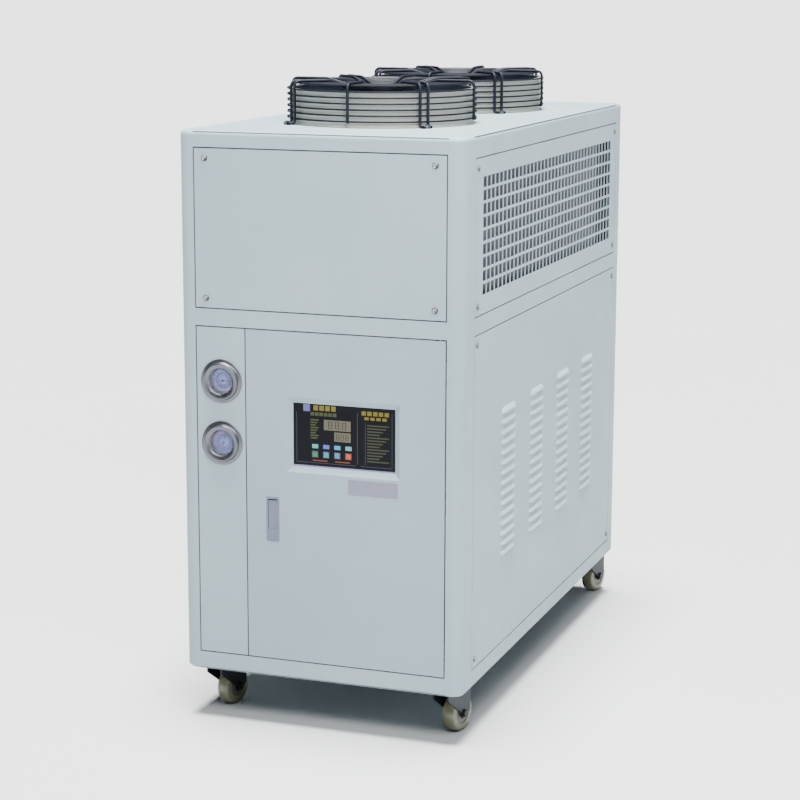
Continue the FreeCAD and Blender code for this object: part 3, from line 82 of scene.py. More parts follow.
class Finish:
    """A node material that is built up from a principled shader on object coordinates."""

    def __init__(self, name, roughness, metallic=0.0):
        self.material = bpy.data.materials.new(name)
        self.material.use_nodes = True
        self.nodes = self.material.node_tree.nodes
        self.links = self.material.node_tree.links
        self.shader = self.nodes["Principled BSDF"]
        self.shader.inputs["Roughness"].default_value = roughness
        self.shader.inputs["Metallic"].default_value = metallic
        self.where = self.nodes.new("ShaderNodeTexCoord").outputs["Object"]

    def noise(self, scale, detail=3.0, stretch=(1, 1, 1)):
        """The value of a noise texture, with features about 1 / scale metres wide."""
        mapping = self.nodes.new("ShaderNodeMapping")
        mapping.inputs["Scale"].default_value = stretch
        texture = self.nodes.new("ShaderNodeTexNoise")
        texture.inputs["Scale"].default_value = scale
        texture.inputs["Detail"].default_value = detail
        self.links.new(self.where, mapping.inputs["Vector"])
        self.links.new(mapping.outputs["Vector"], texture.inputs["Vector"])
        return texture.outputs["Fac"]

    def spread(self, value, low, high):
        """A noise value moved into a range."""
        node = self.nodes.new("ShaderNodeMapRange")
        node.inputs["From Min"].default_value = NOISE_LOW
        node.inputs["From Max"].default_value = NOISE_HIGH
        node.inputs["To Min"].default_value = low
        node.inputs["To Max"].default_value = high
        self.links.new(value, node.inputs["Value"])
        return node.outputs["Result"]

    def colour(self, first, second, value):
        """A colour that wanders between two along a noise value."""
        ramp = self.nodes.new("ShaderNodeValToRGB")
        stops = ramp.color_ramp.elements
        for stop, position, text in zip(stops, (NOISE_LOW, NOISE_HIGH), (first, second)):
            stop.position = position
            stop.color = linear(text)
        self.links.new(value, ramp.inputs["Fac"])
        self.links.new(ramp.outputs["Color"], self.shader.inputs["Base Color"])
        return self

    def math(self, operation, *values):
        """The result of one math node on sockets or numbers."""
        node = self.nodes.new("ShaderNodeMath")
        node.operation = operation
        for socket, value in zip(node.inputs, values):
            if isinstance(value, (int, float)):
                socket.default_value = value
            else:
                self.links.new(value, socket)
        return node.outputs["Value"]

    def paint_seam_and_inside_shade(self, amount):
        """Paints shade into the colour: the seats round the panels and the inside of the closed
        upper section are darkened.
        """
        split = self.nodes.new("ShaderNodeSeparateXYZ")
        self.links.new(self.where, split.inputs["Vector"])
        across, along = (self.math("ABSOLUTE", split.outputs[axis]) for axis in "XY")
        middle, half = (TRAY_TOP + TOP) / 2, (TOP - TRAY_TOP) / 2 - INSIDE_DEPTH
        upper = self.math("COMPARE", split.outputs["Z"], middle, half)
        shade = 0.0
        for here, skin, other, reach in ((along, -FRONT, across, PANEL_X),
                                         (across, SIDE, along, PANEL_Y)):
            between = self.math("LESS_THAN", other, reach)
            seat = self.math("COMPARE", here, skin - SEAT_DEPTH, SEAT_HALF_BAND)
            inside = self.math("LESS_THAN", here, skin - INSIDE_DEPTH)
            deep = self.math("MULTIPLY", inside, upper)
            shaded = self.math("MULTIPLY", between, self.math("MAXIMUM", seat, deep))
            shade = self.math("MAXIMUM", shaded, shade)
        mix = self.nodes.new("ShaderNodeMix")
        mix.data_type = "RGBA"
        mix.blend_type = "MULTIPLY"
        mix.inputs[MIX_B].default_value = (amount, amount, amount, 1)
        base = self.shader.inputs["Base Color"]
        self.links.new(shade, mix.inputs[MIX_FACTOR])
        self.links.new(base.links[0].from_socket, mix.inputs[MIX_A])
        self.links.new(mix.outputs[MIX_RESULT], base)
        return self

    def rough(self, value, low, high):
        """A roughness that wanders between two along a noise value."""
        self.links.new(self.spread(value, low, high), self.shader.inputs["Roughness"])
        return self

    def bump(self, value, depth):
        """Relief of a real depth in metres."""
        node = self.nodes.new("ShaderNodeBump")
        node.inputs["Distance"].default_value = depth
        node.inputs["Strength"].default_value = 1.0
        self.links.new(value, node.inputs["Height"])
        self.links.new(node.outputs["Normal"], self.shader.inputs["Normal"])
        return self

    def set(self, **values):
        """Constants on the shader's own sockets, named with underscores for spaces."""
        for name, value in values.items():
            self.shader.inputs[name.replace("_", " ")].default_value = value
        return self


def powder_coat(name, first, second, with_painted_shade=False):
    """Baked powder paint: faint cloudiness over the sheet and a fine orange-peel surface, with
    painted shade in the panels' seats and inside the upper section if asked.
    """
    finish = Finish(name, roughness=0.45).set(Specular_IOR_Level=0.15)
    finish.colour(first, second, finish.noise(scale=2.6, detail=4.0))
    if with_painted_shade:
        # Painted shade in the panels' seats and inside the closed upper section
        finish.paint_seam_and_inside_shade(amount=0.12)
    finish.rough(finish.noise(scale=9.0), low=0.4, high=0.52)
    return finish.bump(finish.noise(scale=900.0, detail=2.0), depth=0.00006).material


def plain_metal(name, first, second, roughness, grain=(1, 1, 1), depth=0.00003):
    """Bare metal with grain along the axis that is stretched least."""
    finish = Finish(name, roughness, metallic=1.0)
    value = finish.noise(scale=220.0, detail=4.0, stretch=grain)
    finish.colour(first, second, value)
    finish.rough(value, low=roughness * 0.8, high=roughness * 1.3)
    return finish.bump(value, depth).material


def moulded(name, first, second, roughness):
    """Moulded plastic or rubber with a fine matt texture."""
    finish = Finish(name, roughness)
    finish.colour(first, second, finish.noise(scale=14.0))
    return finish.bump(finish.noise(scale=400.0, detail=2.0), depth=0.00004).material


def glossy_coat(name, first, second, roughness, coat=0.4, shine=0.5):
    """Thick dark coat on wire, motors and castings. With a coat of zero it is a duller dip coat."""
    finish = Finish(name, roughness)
    finish.set(Coat_Weight=coat, Coat_Roughness=0.12, Specular_IOR_Level=shine)
    finish.colour(first, second, finish.noise(scale=60.0))
    return finish.bump(finish.noise(scale=350.0, detail=2.0), depth=0.00005).material


def clear_glass(name):
    """Thin clear glass that hardly hides the dial behind it."""
    finish = Finish(name, roughness=0.04).set(Alpha=0.04, Specular_IOR_Level=0.15)
    return finish.colour("E8EEF6", "F2F6FA", finish.noise(scale=30.0)).material


def print_ink(name, text, roughness=0.45, shine=0.25):
    """One field of printed colour with the slight unevenness of screen print."""
    finish = Finish(name, roughness).set(Specular_IOR_Level=shine)
    finish.colour(text, text, finish.noise(scale=50.0))
    return finish.bump(finish.noise(scale=1500.0, detail=2.0), depth=0.00002).material


# The cabinet's coat carries painted shade in the panels' seats and inside the closed upper section
COAT = powder_coat("cabinet_coat", "86989F", "8FA0A6", with_painted_shade=True)
# The door's coat is a darker copy of the cabinet's paint: painted shade for the lower front
SHADED_DOOR_COAT = powder_coat("door_coat_painted_shade", "80939C", "899AA2")
# A lighter copy of the cabinet's paint on the hoods' slopes: painted light
LIT_HOOD_COAT = powder_coat("hood_coat_painted_highlight", "A6B7BE", "AFBEC4")
LIP_SHADOW = moulded("seam_shadow", "1C1F21", "26292C", 0.7)
GALVANISED = plain_metal("galvanised", "9A9EA2", "B4B8BB", 0.42)
FIN = moulded("fin_aluminium", "43454E", "52545D", 0.45)
FIN_SHADOW = moulded("fin_shadow", "2A2C34", "34363E", 0.6)
RING = powder_coat("ring_coat", "9C9D97", "A8A8A1")
# A dark copy of the ring's paint for its inner wall: painted shade
SHADED_RING_INSIDE = powder_coat("ring_inside", "3A4250", "454D5C")
WIRE = glossy_coat("wire_coat", "0A0C14", "121622", 0.55, coat=0.0, shine=0.2)
MOTOR = glossy_coat("motor_coat", "1C2026", "2A3038", 0.34)
BLADE = glossy_coat("blade_coat", "49525E", "5B6573", 0.36)
COMPRESSOR = glossy_coat("compressor_coat", "101113", "1B1D20", 0.28)
TANK = plain_metal("tank_steel", "A2A5A8", "BDC0C2", 0.34, grain=(1, 1, 0.06))
PUMP = glossy_coat("pump_coat", "22405F", "2C4E70", 0.3)
COPPER = plain_metal("copper", "A5613C", "C47B52", 0.3)
# A dark copy of the copper for the coil's tubes and header: painted shade
SHADED_COPPER = plain_metal("copper_painted_shade", "3E2A20", "4E362A", 0.5)
HOSE = moulded("hose_rubber", "161617", "222223", 0.6)
RELAY = moulded("relay_plastic", "3A3D40", "4A4E52", 0.5)
STEEL = plain_metal("polished_steel", "5E5F65", "66676D", 0.36, depth=0.000002)
DIAL = print_ink("dial_face", "43549A", 0.5)
DIAL_MARK = print_ink("dial_mark", "141C48", 0.5)
DIAL_RING = print_ink("dial_ring", "242D63", 0.5)
DIAL_CENTRE = print_ink("dial_centre", "6A82C8", 0.5)
DIAL_ARC = print_ink("dial_arc", "7B62A4", 0.5)
NEEDLE = print_ink("needle_blue", "0A0F2C", 0.4)
GLASS = clear_glass("lens_glass")
ZINC = plain_metal("zinc_plate", "8E9498", "A9AFB3", 0.36)
SCREW = plain_metal("screw_plate", "54585B", "686C6F", 0.3)
# A paler copy of the screw metal for the dished drive: painted highlight
SCREW_DISH_HIGHLIGHT = plain_metal("screw_dish_painted_highlight", "84888B", "989C9F", 0.34)
BRASS = plain_metal("brass", "A8905A", "C4AB72", 0.3)
GLAND = moulded("gland_nylon", "151617", "232426", 0.5)
LATCH = powder_coat("latch_coat", "626879", "6B7182")
FRONT_FOIL = print_ink("front_foil", "06070E", 0.5, shine=0.12)
KEY = moulded("key_rubber", "0E111C", "171B29", 0.5)
PLATE = plain_metal("bare_plate_metal", "7E7F8E", "8C8D9A", 0.5)
FORK = plain_metal("fork_steel", "24272A", "3A3E42", 0.42)
TREAD = moulded("tread_rubber", "54553F", "686955", 0.28)
HUB = moulded("hub_plastic", "3A3B33", "4A4B42", 0.4)
INKS = {name: print_ink("ink_" + name, text) for name, text in {
    "yellow": "635A14", "olive": "33391C", "display": "514E40", "digit": "2E2F2A",
    "aqua": "4A8A86", "periwinkle": "4C589A", "sky": "3F7FA0", "green": "30684A",
    "cyan": "2A7A86", "blue": "40708E", "red": "A84020", "orange": "6A2E1A", "text": "2E321E",
    "lilac": "545284", "grey": "2A2C36", "lip": "6C7290",
}.items()}

for finish, node_names in (
    (COAT, ("base_frame", "front_frame", "rear_frame", "side_rails", "top_cover", "gauge_panel",
            "front_upper_panel", "left_grille", "right_grille", "left_louvre_panel",
            "right_louvre_panel", "rear_upper_panel", "rear_lower_panel")),
    (SHADED_DOOR_COAT, ("door",)),
    (GALVANISED, ("partition_tray", "electrical_plate")),
    (FIN, ("left_condenser", "right_condenser")),
    (RING, ("fan_rings",)),
    (WIRE, ("front_fan_guard", "rear_fan_guard")),
    (MOTOR, ("fan_motors",)),
    (BLADE, ("front_fan_rotor", "rear_fan_rotor")),
    (COMPRESSOR, ("compressor",)),
    (TANK, ("water_tank",)),
    (PUMP, ("water_pump",)),
    (COPPER, ("refrigerant_pipes",)),
    (HOSE, ("compressor_mounts", "water_pipes")),
    (RELAY, ("contactors",)),
    (STEEL, ("gauge_cases",)),
    (DIAL, ("gauge_dials",)),
    (GLASS, ("gauge_lenses",)),
    (NEEDLE, ("upper_gauge_needle", "lower_gauge_needle")),
    (ZINC, ("hinge_brackets", "caster_plates", "lock_bolt")),
    (SCREW, ("panel_screws", "guard_screws")),
    (BRASS, ("water_ports",)),
    (GLAND, ("cable_gland",)),
    (LATCH, ("lock_body", "lock_handle", "lock_button")),
    (FRONT_FOIL, ("controller",)),
    (KEY, ("key_1", "key_2", "key_3", "key_4")),
    (FORK, [f"{corner}_caster_fork" for corner in CORNERS]),
    (TREAD, [f"{corner}_caster_wheel" for corner in CORNERS]),
):
    for node_name in node_names:
        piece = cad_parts[node_name]
        piece.data.materials.clear()
        piece.data.materials.append(finish)


# Mesh helpers

def mesh_piece(name, bm, materials, body, smooth_angle):
    """A finished mesh object that rides on a body. materials is one material or a list.

    Edges sharper than smooth_angle, in degrees, stay sharp, and at zero all faces stay flat.
    """
    bmesh.ops.recalc_face_normals(bm, faces=bm.faces)
    mesh = bpy.data.meshes.new(name)
    bm.to_mesh(mesh)
    bm.free()
    for finish in materials if isinstance(materials, list) else [materials]:
        mesh.materials.append(finish)
    piece = bpy.data.objects.new(name, mesh)
    bpy.context.scene.collection.objects.link(piece)
    if smooth_angle:
        mesh.shade_smooth()
        mesh.set_sharp_from_angle(angle=math.radians(smooth_angle))
    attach(piece, body)
    return piece


def in_metres(points, base=0.0):
    """Points of a turned profile, from radius and height in mm to metres over a base height."""
    return [(radius * MM, base + height * MM) for radius, height in points]


def add_box(bm, low, high, matrix=None, material=0):
    """A block between two corners, moved by a matrix."""
    corners = [Vector((x, y, z)) for x in (low[0], high[0])
               for y in (low[1], high[1]) for z in (low[2], high[2])]
    if matrix is not None:
        corners = [matrix @ corner for corner in corners]
    verts = [bm.verts.new(corner) for corner in corners]
    for quad in ((0, 1, 3, 2), (4, 6, 7, 5), (0, 4, 5, 1), (2, 3, 7, 6), (0, 2, 6, 4),
                 (1, 5, 7, 3)):
        bm.faces.new([verts[i] for i in quad]).material_index = material


def add_lathe(bm, profile, matrix, steps=48, material=0, closed=False):
    """A surface turned about local Z from (radius, height) points.

    A radius of zero ends in a point. A closed profile joins its last point to its first.
    """
    rings = []
    for radius, height in profile:
        if radius <= 0:
            rings.append([bm.verts.new(matrix @ Vector((0, 0, height)))] * steps)
            continue
        ring = []
        for i in range(steps):
            turn = 2 * math.pi * i / steps
            at = Vector((radius * math.cos(turn), radius * math.sin(turn), height))
            ring.append(bm.verts.new(matrix @ at))
        rings.append(ring)
    pairs = list(zip(rings, rings[1:])) + ([(rings[-1], rings[0])] if closed else [])
    for low, high in pairs:
        for i in range(steps):
            corners = [low[i], low[(i + 1) % steps], high[(i + 1) % steps], high[i]]
            unique = list(dict.fromkeys(corners))
            if len(unique) > 2:
                bm.faces.new(unique).material_index = material


def rounded(points, radius, steps=5):
    """A run of points with every inner corner rounded by an arc."""
    out = [Vector(points[0])]
    for before, corner, after in zip(points, points[1:], points[2:]):
        before, corner, after = Vector(before), Vector(corner), Vector(after)
        back, ahead = (before - corner), (after - corner)
        half = back.angle(ahead) / 2
        # An arc takes less than half of each run, so that it never meets the next one
        reach = min(radius / math.tan(half), 0.48 * back.length, 0.48 * ahead.length)
        first, last = corner + back.normalized() * reach, corner + ahead.normalized() * reach
        for i in range(steps + 1):
            share = i / steps
            out.append(first.lerp(corner, share).lerp(corner.lerp(last, share), share))
    out.append(Vector(points[-1]))
    return out


def add_wire(bm, points, radius, sides=8, closed=False, material=0):
    """A round wire along points, closed into a ring or capped at both ends."""
    points = [Vector(p) for p in points]
    count = len(points)
    rings, across = [], None
    for i, point in enumerate(points):
        before = points[i - 1] if closed or i else point
        after = points[(i + 1) % count] if closed or i < count - 1 else point
        along = (after - before).normalized()
        if across is None:
            across = along.orthogonal().normalized()
        across = (across - along * across.dot(along)).normalized()
        other = along.cross(across)
        ring = []
        for k in range(sides):
            turn = 2 * math.pi * k / sides
            offset = (across * math.cos(turn) + other * math.sin(turn)) * radius
            ring.append(bm.verts.new(point + offset))
        rings.append(ring)
    pairs = list(zip(rings, rings[1:])) + ([(rings[-1], rings[0])] if closed else [])
    for low, high in pairs:
        for k in range(sides):
            quad = [low[k], low[(k + 1) % sides], high[(k + 1) % sides], high[k]]
            bm.faces.new(quad).material_index = material
    if not closed:
        bm.faces.new(rings[0][::-1]).material_index = material
        bm.faces.new(rings[-1]).material_index = material


def circle(radius, z, steps, centre):
    """Points of a level circle."""
    turns = [2 * math.pi * i / steps for i in range(steps)]
    return [(centre[0] + radius * math.cos(turn), centre[1] + radius * math.sin(turn), z)
            for turn in turns]


def facing(x, y, z, axis):
    """The matrix that puts local Z along an axis at a point. axis is -Y, Y, X or -X."""
    angle, about = {"-Y": (90, "X"), "Y": (-90, "X"), "X": (90, "Y"), "-X": (-90, "Y")}[axis]
    return Matrix.Translation((x, y, z)) @ Matrix.Rotation(math.radians(angle), 4, about)


# Fans: rings and wire guards

def fan_centre(node):
    """The middle of a guard's node, seen from above."""
    low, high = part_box(node)
    return (low[0] + high[0]) / 2, (low[1] + high[1]) / 2


def make_guard(node, name):
    """The wire guard: four double and four single arms, six side rings and fourteen top rings."""
    centre = fan_centre(node)
    low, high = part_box(node)
    wire, thin, half_pair, foot, bend = 3.0 * MM, 1.9 * MM, 8.5 * MM, 14 * MM, 12 * MM
    leg, top, plate_z = (high[0] - low[0]) / 2 - wire, high[2] - wire, TOP + 70 * MM
    single_foot_z, paired_foot_z = TOP + 9 * MM, TOP + wire
    # The arms slope down to the motor's plate between these distances from the middle
    drop_start, drop_end, arm_end = 118 * MM, 60 * MM, 44 * MM
    # From the middle of an arm to the middle of a ring that is welded to it
    apart = wire + 0.7 * thin
    lowest_ring, ring_pitch, widest_ring, ring_step = 12 * MM, 11.4 * MM, 178 * MM, 8.6 * MM
    bm = bmesh.new()
    for i in range(8):
        paired = i % 2 == 1
        turn = Matrix.Translation((*centre, 0)) @ Matrix.Rotation(math.radians(45 * i), 4, "Z")
        for shift in ((-half_pair, half_pair) if paired else (0,)):
            start = [(leg, shift, single_foot_z)]
            if paired:
                start = [(leg + foot, shift, paired_foot_z), (leg, shift, paired_foot_z)]
            run = start + [(leg, shift, top), (drop_start, shift, top),
                           (drop_end, shift, plate_z), (arm_end, shift, plate_z)]
            add_wire(bm, [turn @ p for p in rounded(run, bend)], wire)
        if paired:
            bar = turn @ Matrix.Translation((leg + foot, 0, paired_foot_z))
            add_wire(bm, [bar @ Vector((0, y, 0)) for y in (-half_pair, half_pair)], wire)
    for i in range(6):
        z = TOP + lowest_ring + ring_pitch * i
        add_wire(bm, circle(leg - apart, z, 72, centre), thin, sides=6, closed=True)
    for i in range(14):
        radius = widest_ring - ring_step * i
        share = max(0.0, (drop_start - radius) / (drop_start - drop_end))
        z = top + (plate_z - top) * share - apart
        add_wire(bm, circle(radius, z, 64, centre), thin, sides=6, closed=True)
    hub = ((30, 66), (57, 66), (58, 67), (58, 69), (56, 70.5), (31, 70.5))
    place = Matrix.Translation((*centre, 0))
    add_lathe(bm, in_metres(hub, TOP), place, steps=56, closed=True)
    guard = mesh_piece(name, bm, WIRE, "cabinet", 50)
    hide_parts(node)


def make_rings():
    """The rolled rings round both fans, with a bead at the top, a flange at the bottom and painted
    shade on the inner wall.
    """
    inner = 180.4
    points = ((inner, 0.1), (185, 0.1), (185, 1.5), (183, 2.2), (182, 5), (182, 64),
              (183.2, 66), (183.2, 69), (182, 70), (inner, 70))
    bm = bmesh.new()
    for node in ("front_fan_guard", "rear_fan_guard"):
        centre = Vector(fan_centre(node))
        place = Matrix.Translation((*centre, 0))
        add_lathe(bm, in_metres(points, TOP), place, steps=96, closed=True)
        # Faces of the inner wall take the painted shade
        # The inner wall's flat faces are the only ones whose middles lie within its radius
        for face in bm.faces:
            if (face.calc_center_median().xy - centre).length < inner * MM:
                face.material_index = 1
    rings = mesh_piece("rolled_fan_rings", bm, [RING, SHADED_RING_INSIDE], "cabinet", 40)
    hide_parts("fan_rings")


# Side panels: punched grilles and pressed louvres

def add_punched_sheet(bm, columns, rows, place, thickness):
    """A sheet with rectangular holes between sorted lines; odd spans of both are open.

    columns and rows are lists of lines; place turns (across, up, out) into a point.
    """
    def is_open(i, j):
        return 0 <= i < len(columns) - 1 and 0 <= j < len(rows) - 1 and i % 2 == 1 and j % 2 == 1

    sheets = []
    for out in (thickness, 0.0):
        grid = {}
        for i, across in enumerate(columns):
            for j, up in enumerate(rows):
                grid[i, j] = bm.verts.new(place(across, up, out))
        sheets.append(grid)
    front, back = sheets
    for i in range(len(columns) - 1):
        for j in range(len(rows) - 1):
            square = ((i, j), (i + 1, j), (i + 1, j + 1), (i, j + 1))
            if is_open(i, j):
                for a, b in zip(square, square[1:] + square[:1]):
                    bm.faces.new([front[a], front[b], back[b], back[a]])
            else:
                bm.faces.new([front[k] for k in square])
                bm.faces.new([back[k] for k in square[::-1]])
    last_i, last_j = len(columns) - 1, len(rows) - 1
    rim = ([(i, 0) for i in range(last_i)] + [(last_i, j) for j in range(last_j)]
           + [(i, last_j) for i in range(last_i, 0, -1)] + [(0, j) for j in range(last_j, 0, -1)])
    for a, b in zip(rim, rim[1:] + rim[:1]):
        bm.faces.new([front[a], back[a], back[b], front[b]])


def spans(low, high, start, pitch, hole, count):
    """The lines of a row of equal holes between two edges of a sheet."""
    lines = [low]
    for i in range(count):
        lines += [start + i * pitch, start + i * pitch + hole]
    return lines + [high]


def make_grille(node, name, sign):
    """A sheet with 37 by 9 punched holes in place of the coarse one."""
    low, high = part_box(node)
    count_y, count_z = 37, 9
    hole_y, pitch_y, hole_z, pitch_z = 22.8 * MM, 26.0 * MM, 20.4 * MM, 25.375 * MM
    start_y = -(count_y * pitch_y - (pitch_y - hole_y)) / 2
    start_z = (low[2] + high[2]) / 2 - (count_z * pitch_z - (pitch_z - hole_z)) / 2
    columns = spans(low[1], high[1], start_y, pitch_y, hole_y, count_y)
    rows = spans(low[2], high[2], start_z, pitch_z, hole_z, count_z)
    inner = low[0] if sign > 0 else high[0]
    bm = bmesh.new()
    add_punched_sheet(bm, columns, rows, lambda y, z, out: (inner + sign * out, y, z),
                      high[0] - low[0])
    grille = mesh_piece(name, bm, COAT, "cabinet", 30)
    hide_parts(node)


# A hood's section from its lip to its root, as shares of its height and of its rise
HOOD_SECTION = ((0.0, 1.0), (0.06, 1.04), (0.35, 0.93), (0.7, 0.55), (1.0, -0.05))


def make_louvres(node, name, sign):
    """A sheet with four columns of fifteen pressed hoods, each lighter on its slope with painted
    light and dark under its lower lip with a painted shadow.
    """
    low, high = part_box(node)
    face = SIDE if sign > 0 else -SIDE
    inner = face - sign * 2 * MM
    rise, length, height = 4.3 * MM, 92 * MM, 12 * MM
    columns, rows, column_pitch, row_pitch, lift = 4, 15, 200 * MM, 20.6 * MM, 7 * MM
    # Each end of a hood is rounded over this share of its length, and goes down to this height
    end_share, end_height = 0.1, 0.55
    steps, sunk, lip_out, lip_up = 10, 0.02 * MM, 0.05 * MM, 0.4 * MM
    bm = bmesh.new()
    add_box(bm, (min(inner, face), low[1], low[2]), (max(inner, face), high[1], high[2]))
    first_z = (low[2] + high[2]) / 2 + lift - (rows - 1) / 2 * row_pitch
    for column in range(columns):
        centre_y = (column - (columns - 1) / 2) * column_pitch
        for row in range(rows):
            base_z = first_z + row * row_pitch - height / 2
            lines = []
            for share_z, out in HOOD_SECTION:
                line = []
                for k in range(steps + 1):
                    share = k / steps
                    end = min(1.0, min(share, 1 - share) / end_share)
                    swell = math.sqrt(max(0.0, 1 - (1 - end) ** 2))
                    x = face + sign * (rise * out * swell - sunk)
                    y = centre_y + (share - 0.5) * length
                    z = base_z + share_z * height * (end_height + (1 - end_height) * swell)
                    line.append(bm.verts.new((x, y, z)))
                lines.append(line)
            for lower, upper in zip(lines, lines[1:]):
                for k in range(steps):
                    quad = [lower[k], lower[k + 1], upper[k + 1], upper[k]]
                    # The slopes take the lighter coat, a painted highlight
                    bm.faces.new(quad).material_index = 2
            edge = lines[0]
            lip = [bm.verts.new((face + sign * lip_out, v.co.y, base_z + lip_up)) for v in edge]
            for k in range(steps):
                bm.faces.new([edge[k], edge[k + 1], lip[k + 1], lip[k]]).material_index = 1
    panel = mesh_piece(name, bm, [COAT, LIP_SHADOW, LIT_HOOD_COAT], "cabinet", 40)
    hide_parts(node)


# Condenser coils

def make_coil(node, name, sign):
    """A fin block: thin upright fins, hairpin bends in front, tubes and a header at the back, with
    painted shade on the copper and on the block behind the fins.
    """
    low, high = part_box(node)
    inner, outer = (low[0], high[0]) if sign > 0 else (high[0], low[0])
    header_length, header_radius, tube_radius = 37 * MM, 11 * MM, 4.5 * MM
    pitch, fin, end_plate = 3.0 * MM, 1.1 * MM, 4 * MM
    front, back = low[1], high[1] - header_length
    # The fins' roots go a little into the block behind them
    valley, root = outer - sign * 3 * MM, outer - sign * 3.2 * MM
    bm = bmesh.new()
    add_box(bm, (min(inner, valley), front, low[2]), (max(inner, valley), back, high[2]),
            material=1)
    for i in range(int((back - front) / pitch)):
        y = front + i * pitch
        add_box(bm, (min(outer, root), y, low[2]), (max(outer, root), y + fin, high[2]))
    for edge in (low[2], high[2] - end_plate):
        add_box(bm, (min(outer, inner), front, edge), (max(outer, inner), back, edge + end_plate))
    x, header_y = (inner + outer) / 2, high[1] - header_radius
    add_wire(bm, [(x, header_y, low[2]), (x, header_y, high[2])], header_radius, 20, material=2)
    tube_start, bend_start, bend_end = back - 3 * MM, front + 4 * MM, front - 9 * MM
    bend_rise, bend_radius, lowest_tube, tube_pitch = 16 * MM, 7.5 * MM, 18 * MM, 32 * MM
    for i in range(9):
        z = low[2] + lowest_tube + tube_pitch * i
        add_wire(bm, [(x, tube_start, z), (x, header_y, z)], tube_radius, 10, material=2)
        bend = [(x, bend_start, z), (x, bend_end, z), (x, bend_end, z + bend_rise),
                (x, bend_start, z + bend_rise)]
        add_wire(bm, rounded(bend, bend_radius), tube_radius, 10, material=2)
    coil = mesh_piece(name, bm, [FIN, FIN_SHADOW, SHADED_COPPER], "cabinet", 40)
    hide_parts(node)


# Screws

def add_screw(bm, matrix, radius, height):
    """A button head with a dark rim round a paler dished drive; the paler drive is a painted
    highlight on the same metal.
    """
    rim = ((1, 0), (1, 0.4), (0.94, 0.8), (0.82, 1), (0.7, 0.9))
    dish = ((0.7, 0.9), (0.56, 0.5), (0.3, 0.3), (0, 0.28))
    for material, shares in enumerate((rim, dish)):
        profile = [(r * radius, h * height) for r, h in shares]
        add_lathe(bm, profile, matrix, steps=24, material=material)


def make_panel_screws():
    """Dished heads at the places of the faceted ones, read from the panels' own corners."""
    bm = bmesh.new()
    radius, height = 6.3 * MM, 2.3 * MM
    inset_x, inset_y, side_inset_z = 21.5 * MM, 14.5 * MM, 17.5 * MM
    for node, inset_z in (("front_upper_panel", 18.5 * MM), ("rear_upper_panel", 18.5 * MM),
                          ("rear_lower_panel", 17.5 * MM)):
        low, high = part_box(node)
        axis, y = ("-Y", low[1]) if low[1] < 0 else ("Y", high[1])
        for x in (low[0] + inset_x, high[0] - inset_x):
            for z in (low[2] + inset_z, high[2] - inset_z):
                add_screw(bm, facing(x, y, z, axis), radius, height)
    for node in ("left_grille", "right_grille", "left_louvre_panel", "right_louvre_panel"):
        low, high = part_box(node)
        axis, x = ("X", SIDE) if high[0] > 0 else ("-X", -SIDE)
        for y in (low[1] + inset_y, high[1] - inset_y):
            for z in (low[2] + side_inset_z, high[2] - side_inset_z):
                add_screw(bm, facing(x, y, z, axis), radius, height)
    screws = mesh_piece("dished_panel_screws", bm, [SCREW, SCREW_DISH_HIGHLIGHT], "cabinet", 40)
    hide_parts("panel_screws")


def make_guard_screws():
    """Hexagon heads with washers at the guards' feet."""
    bm = bmesh.new()
    reach = 206 * MM
    washer = in_metres(((6.0, 0), (6.0, 4.2), (5.4, 4.6), (0, 4.6)))
    hexagon = in_metres(((4.6, 4.4), (4.6, 7.2), (4.0, 8.0), (0, 8.0)))
    for node in ("front_fan_guard", "rear_fan_guard"):
        centre_x, centre_y = fan_centre(node)
        for turn in (45, 135, 225, 315):
            at = Matrix.Translation((centre_x + reach * math.cos(math.radians(turn)),
                                     centre_y + reach * math.sin(math.radians(turn)), TOP))
            add_lathe(bm, washer, at, steps=24)
            add_lathe(bm, hexagon, at, steps=6)
    screws = mesh_piece("guard_foot_screws", bm, SCREW, "cabinet", 30)
    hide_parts("guard_screws")


# Gauges, in mm from the panel's face

GAUGE_CASE = (
    (0, -28), (30, -28), (31.3, -26.5), (31.3, 0), (42.2, 0), (43, 0.6), (43, 1.4), (42.2, 2.2),
    (39.5, 2.6), (37.6, 3.2), (36.4, 4.8), (36, 6.8), (35.4, 8.3), (34.2, 9), (32.6, 8.9),
    (30, 8.1), (27.4, 7.0), (25.6, 5.9), (25.1, 5), (25.1, -11), (0, -11),
)
DIAL_FLOOR, DIAL_FACE = -11, -9.45
# Printed rings: inner and outer radius, height over the face, and material
DIAL_RINGS = ((13.4, 16.2, 0.15, 2), (22.6, 24.8, 0.12, 2), (0, 7.5, 0.1, 3))


def add_dial_mark(bm, matrix, low, high, rise, material):
    """A block printed on a dial, between two corners in mm."""
    add_box(bm, [v * MM for v in (*low, DIAL_FACE)], [v * MM for v in (*high, DIAL_FACE + rise)],
            matrix, material)


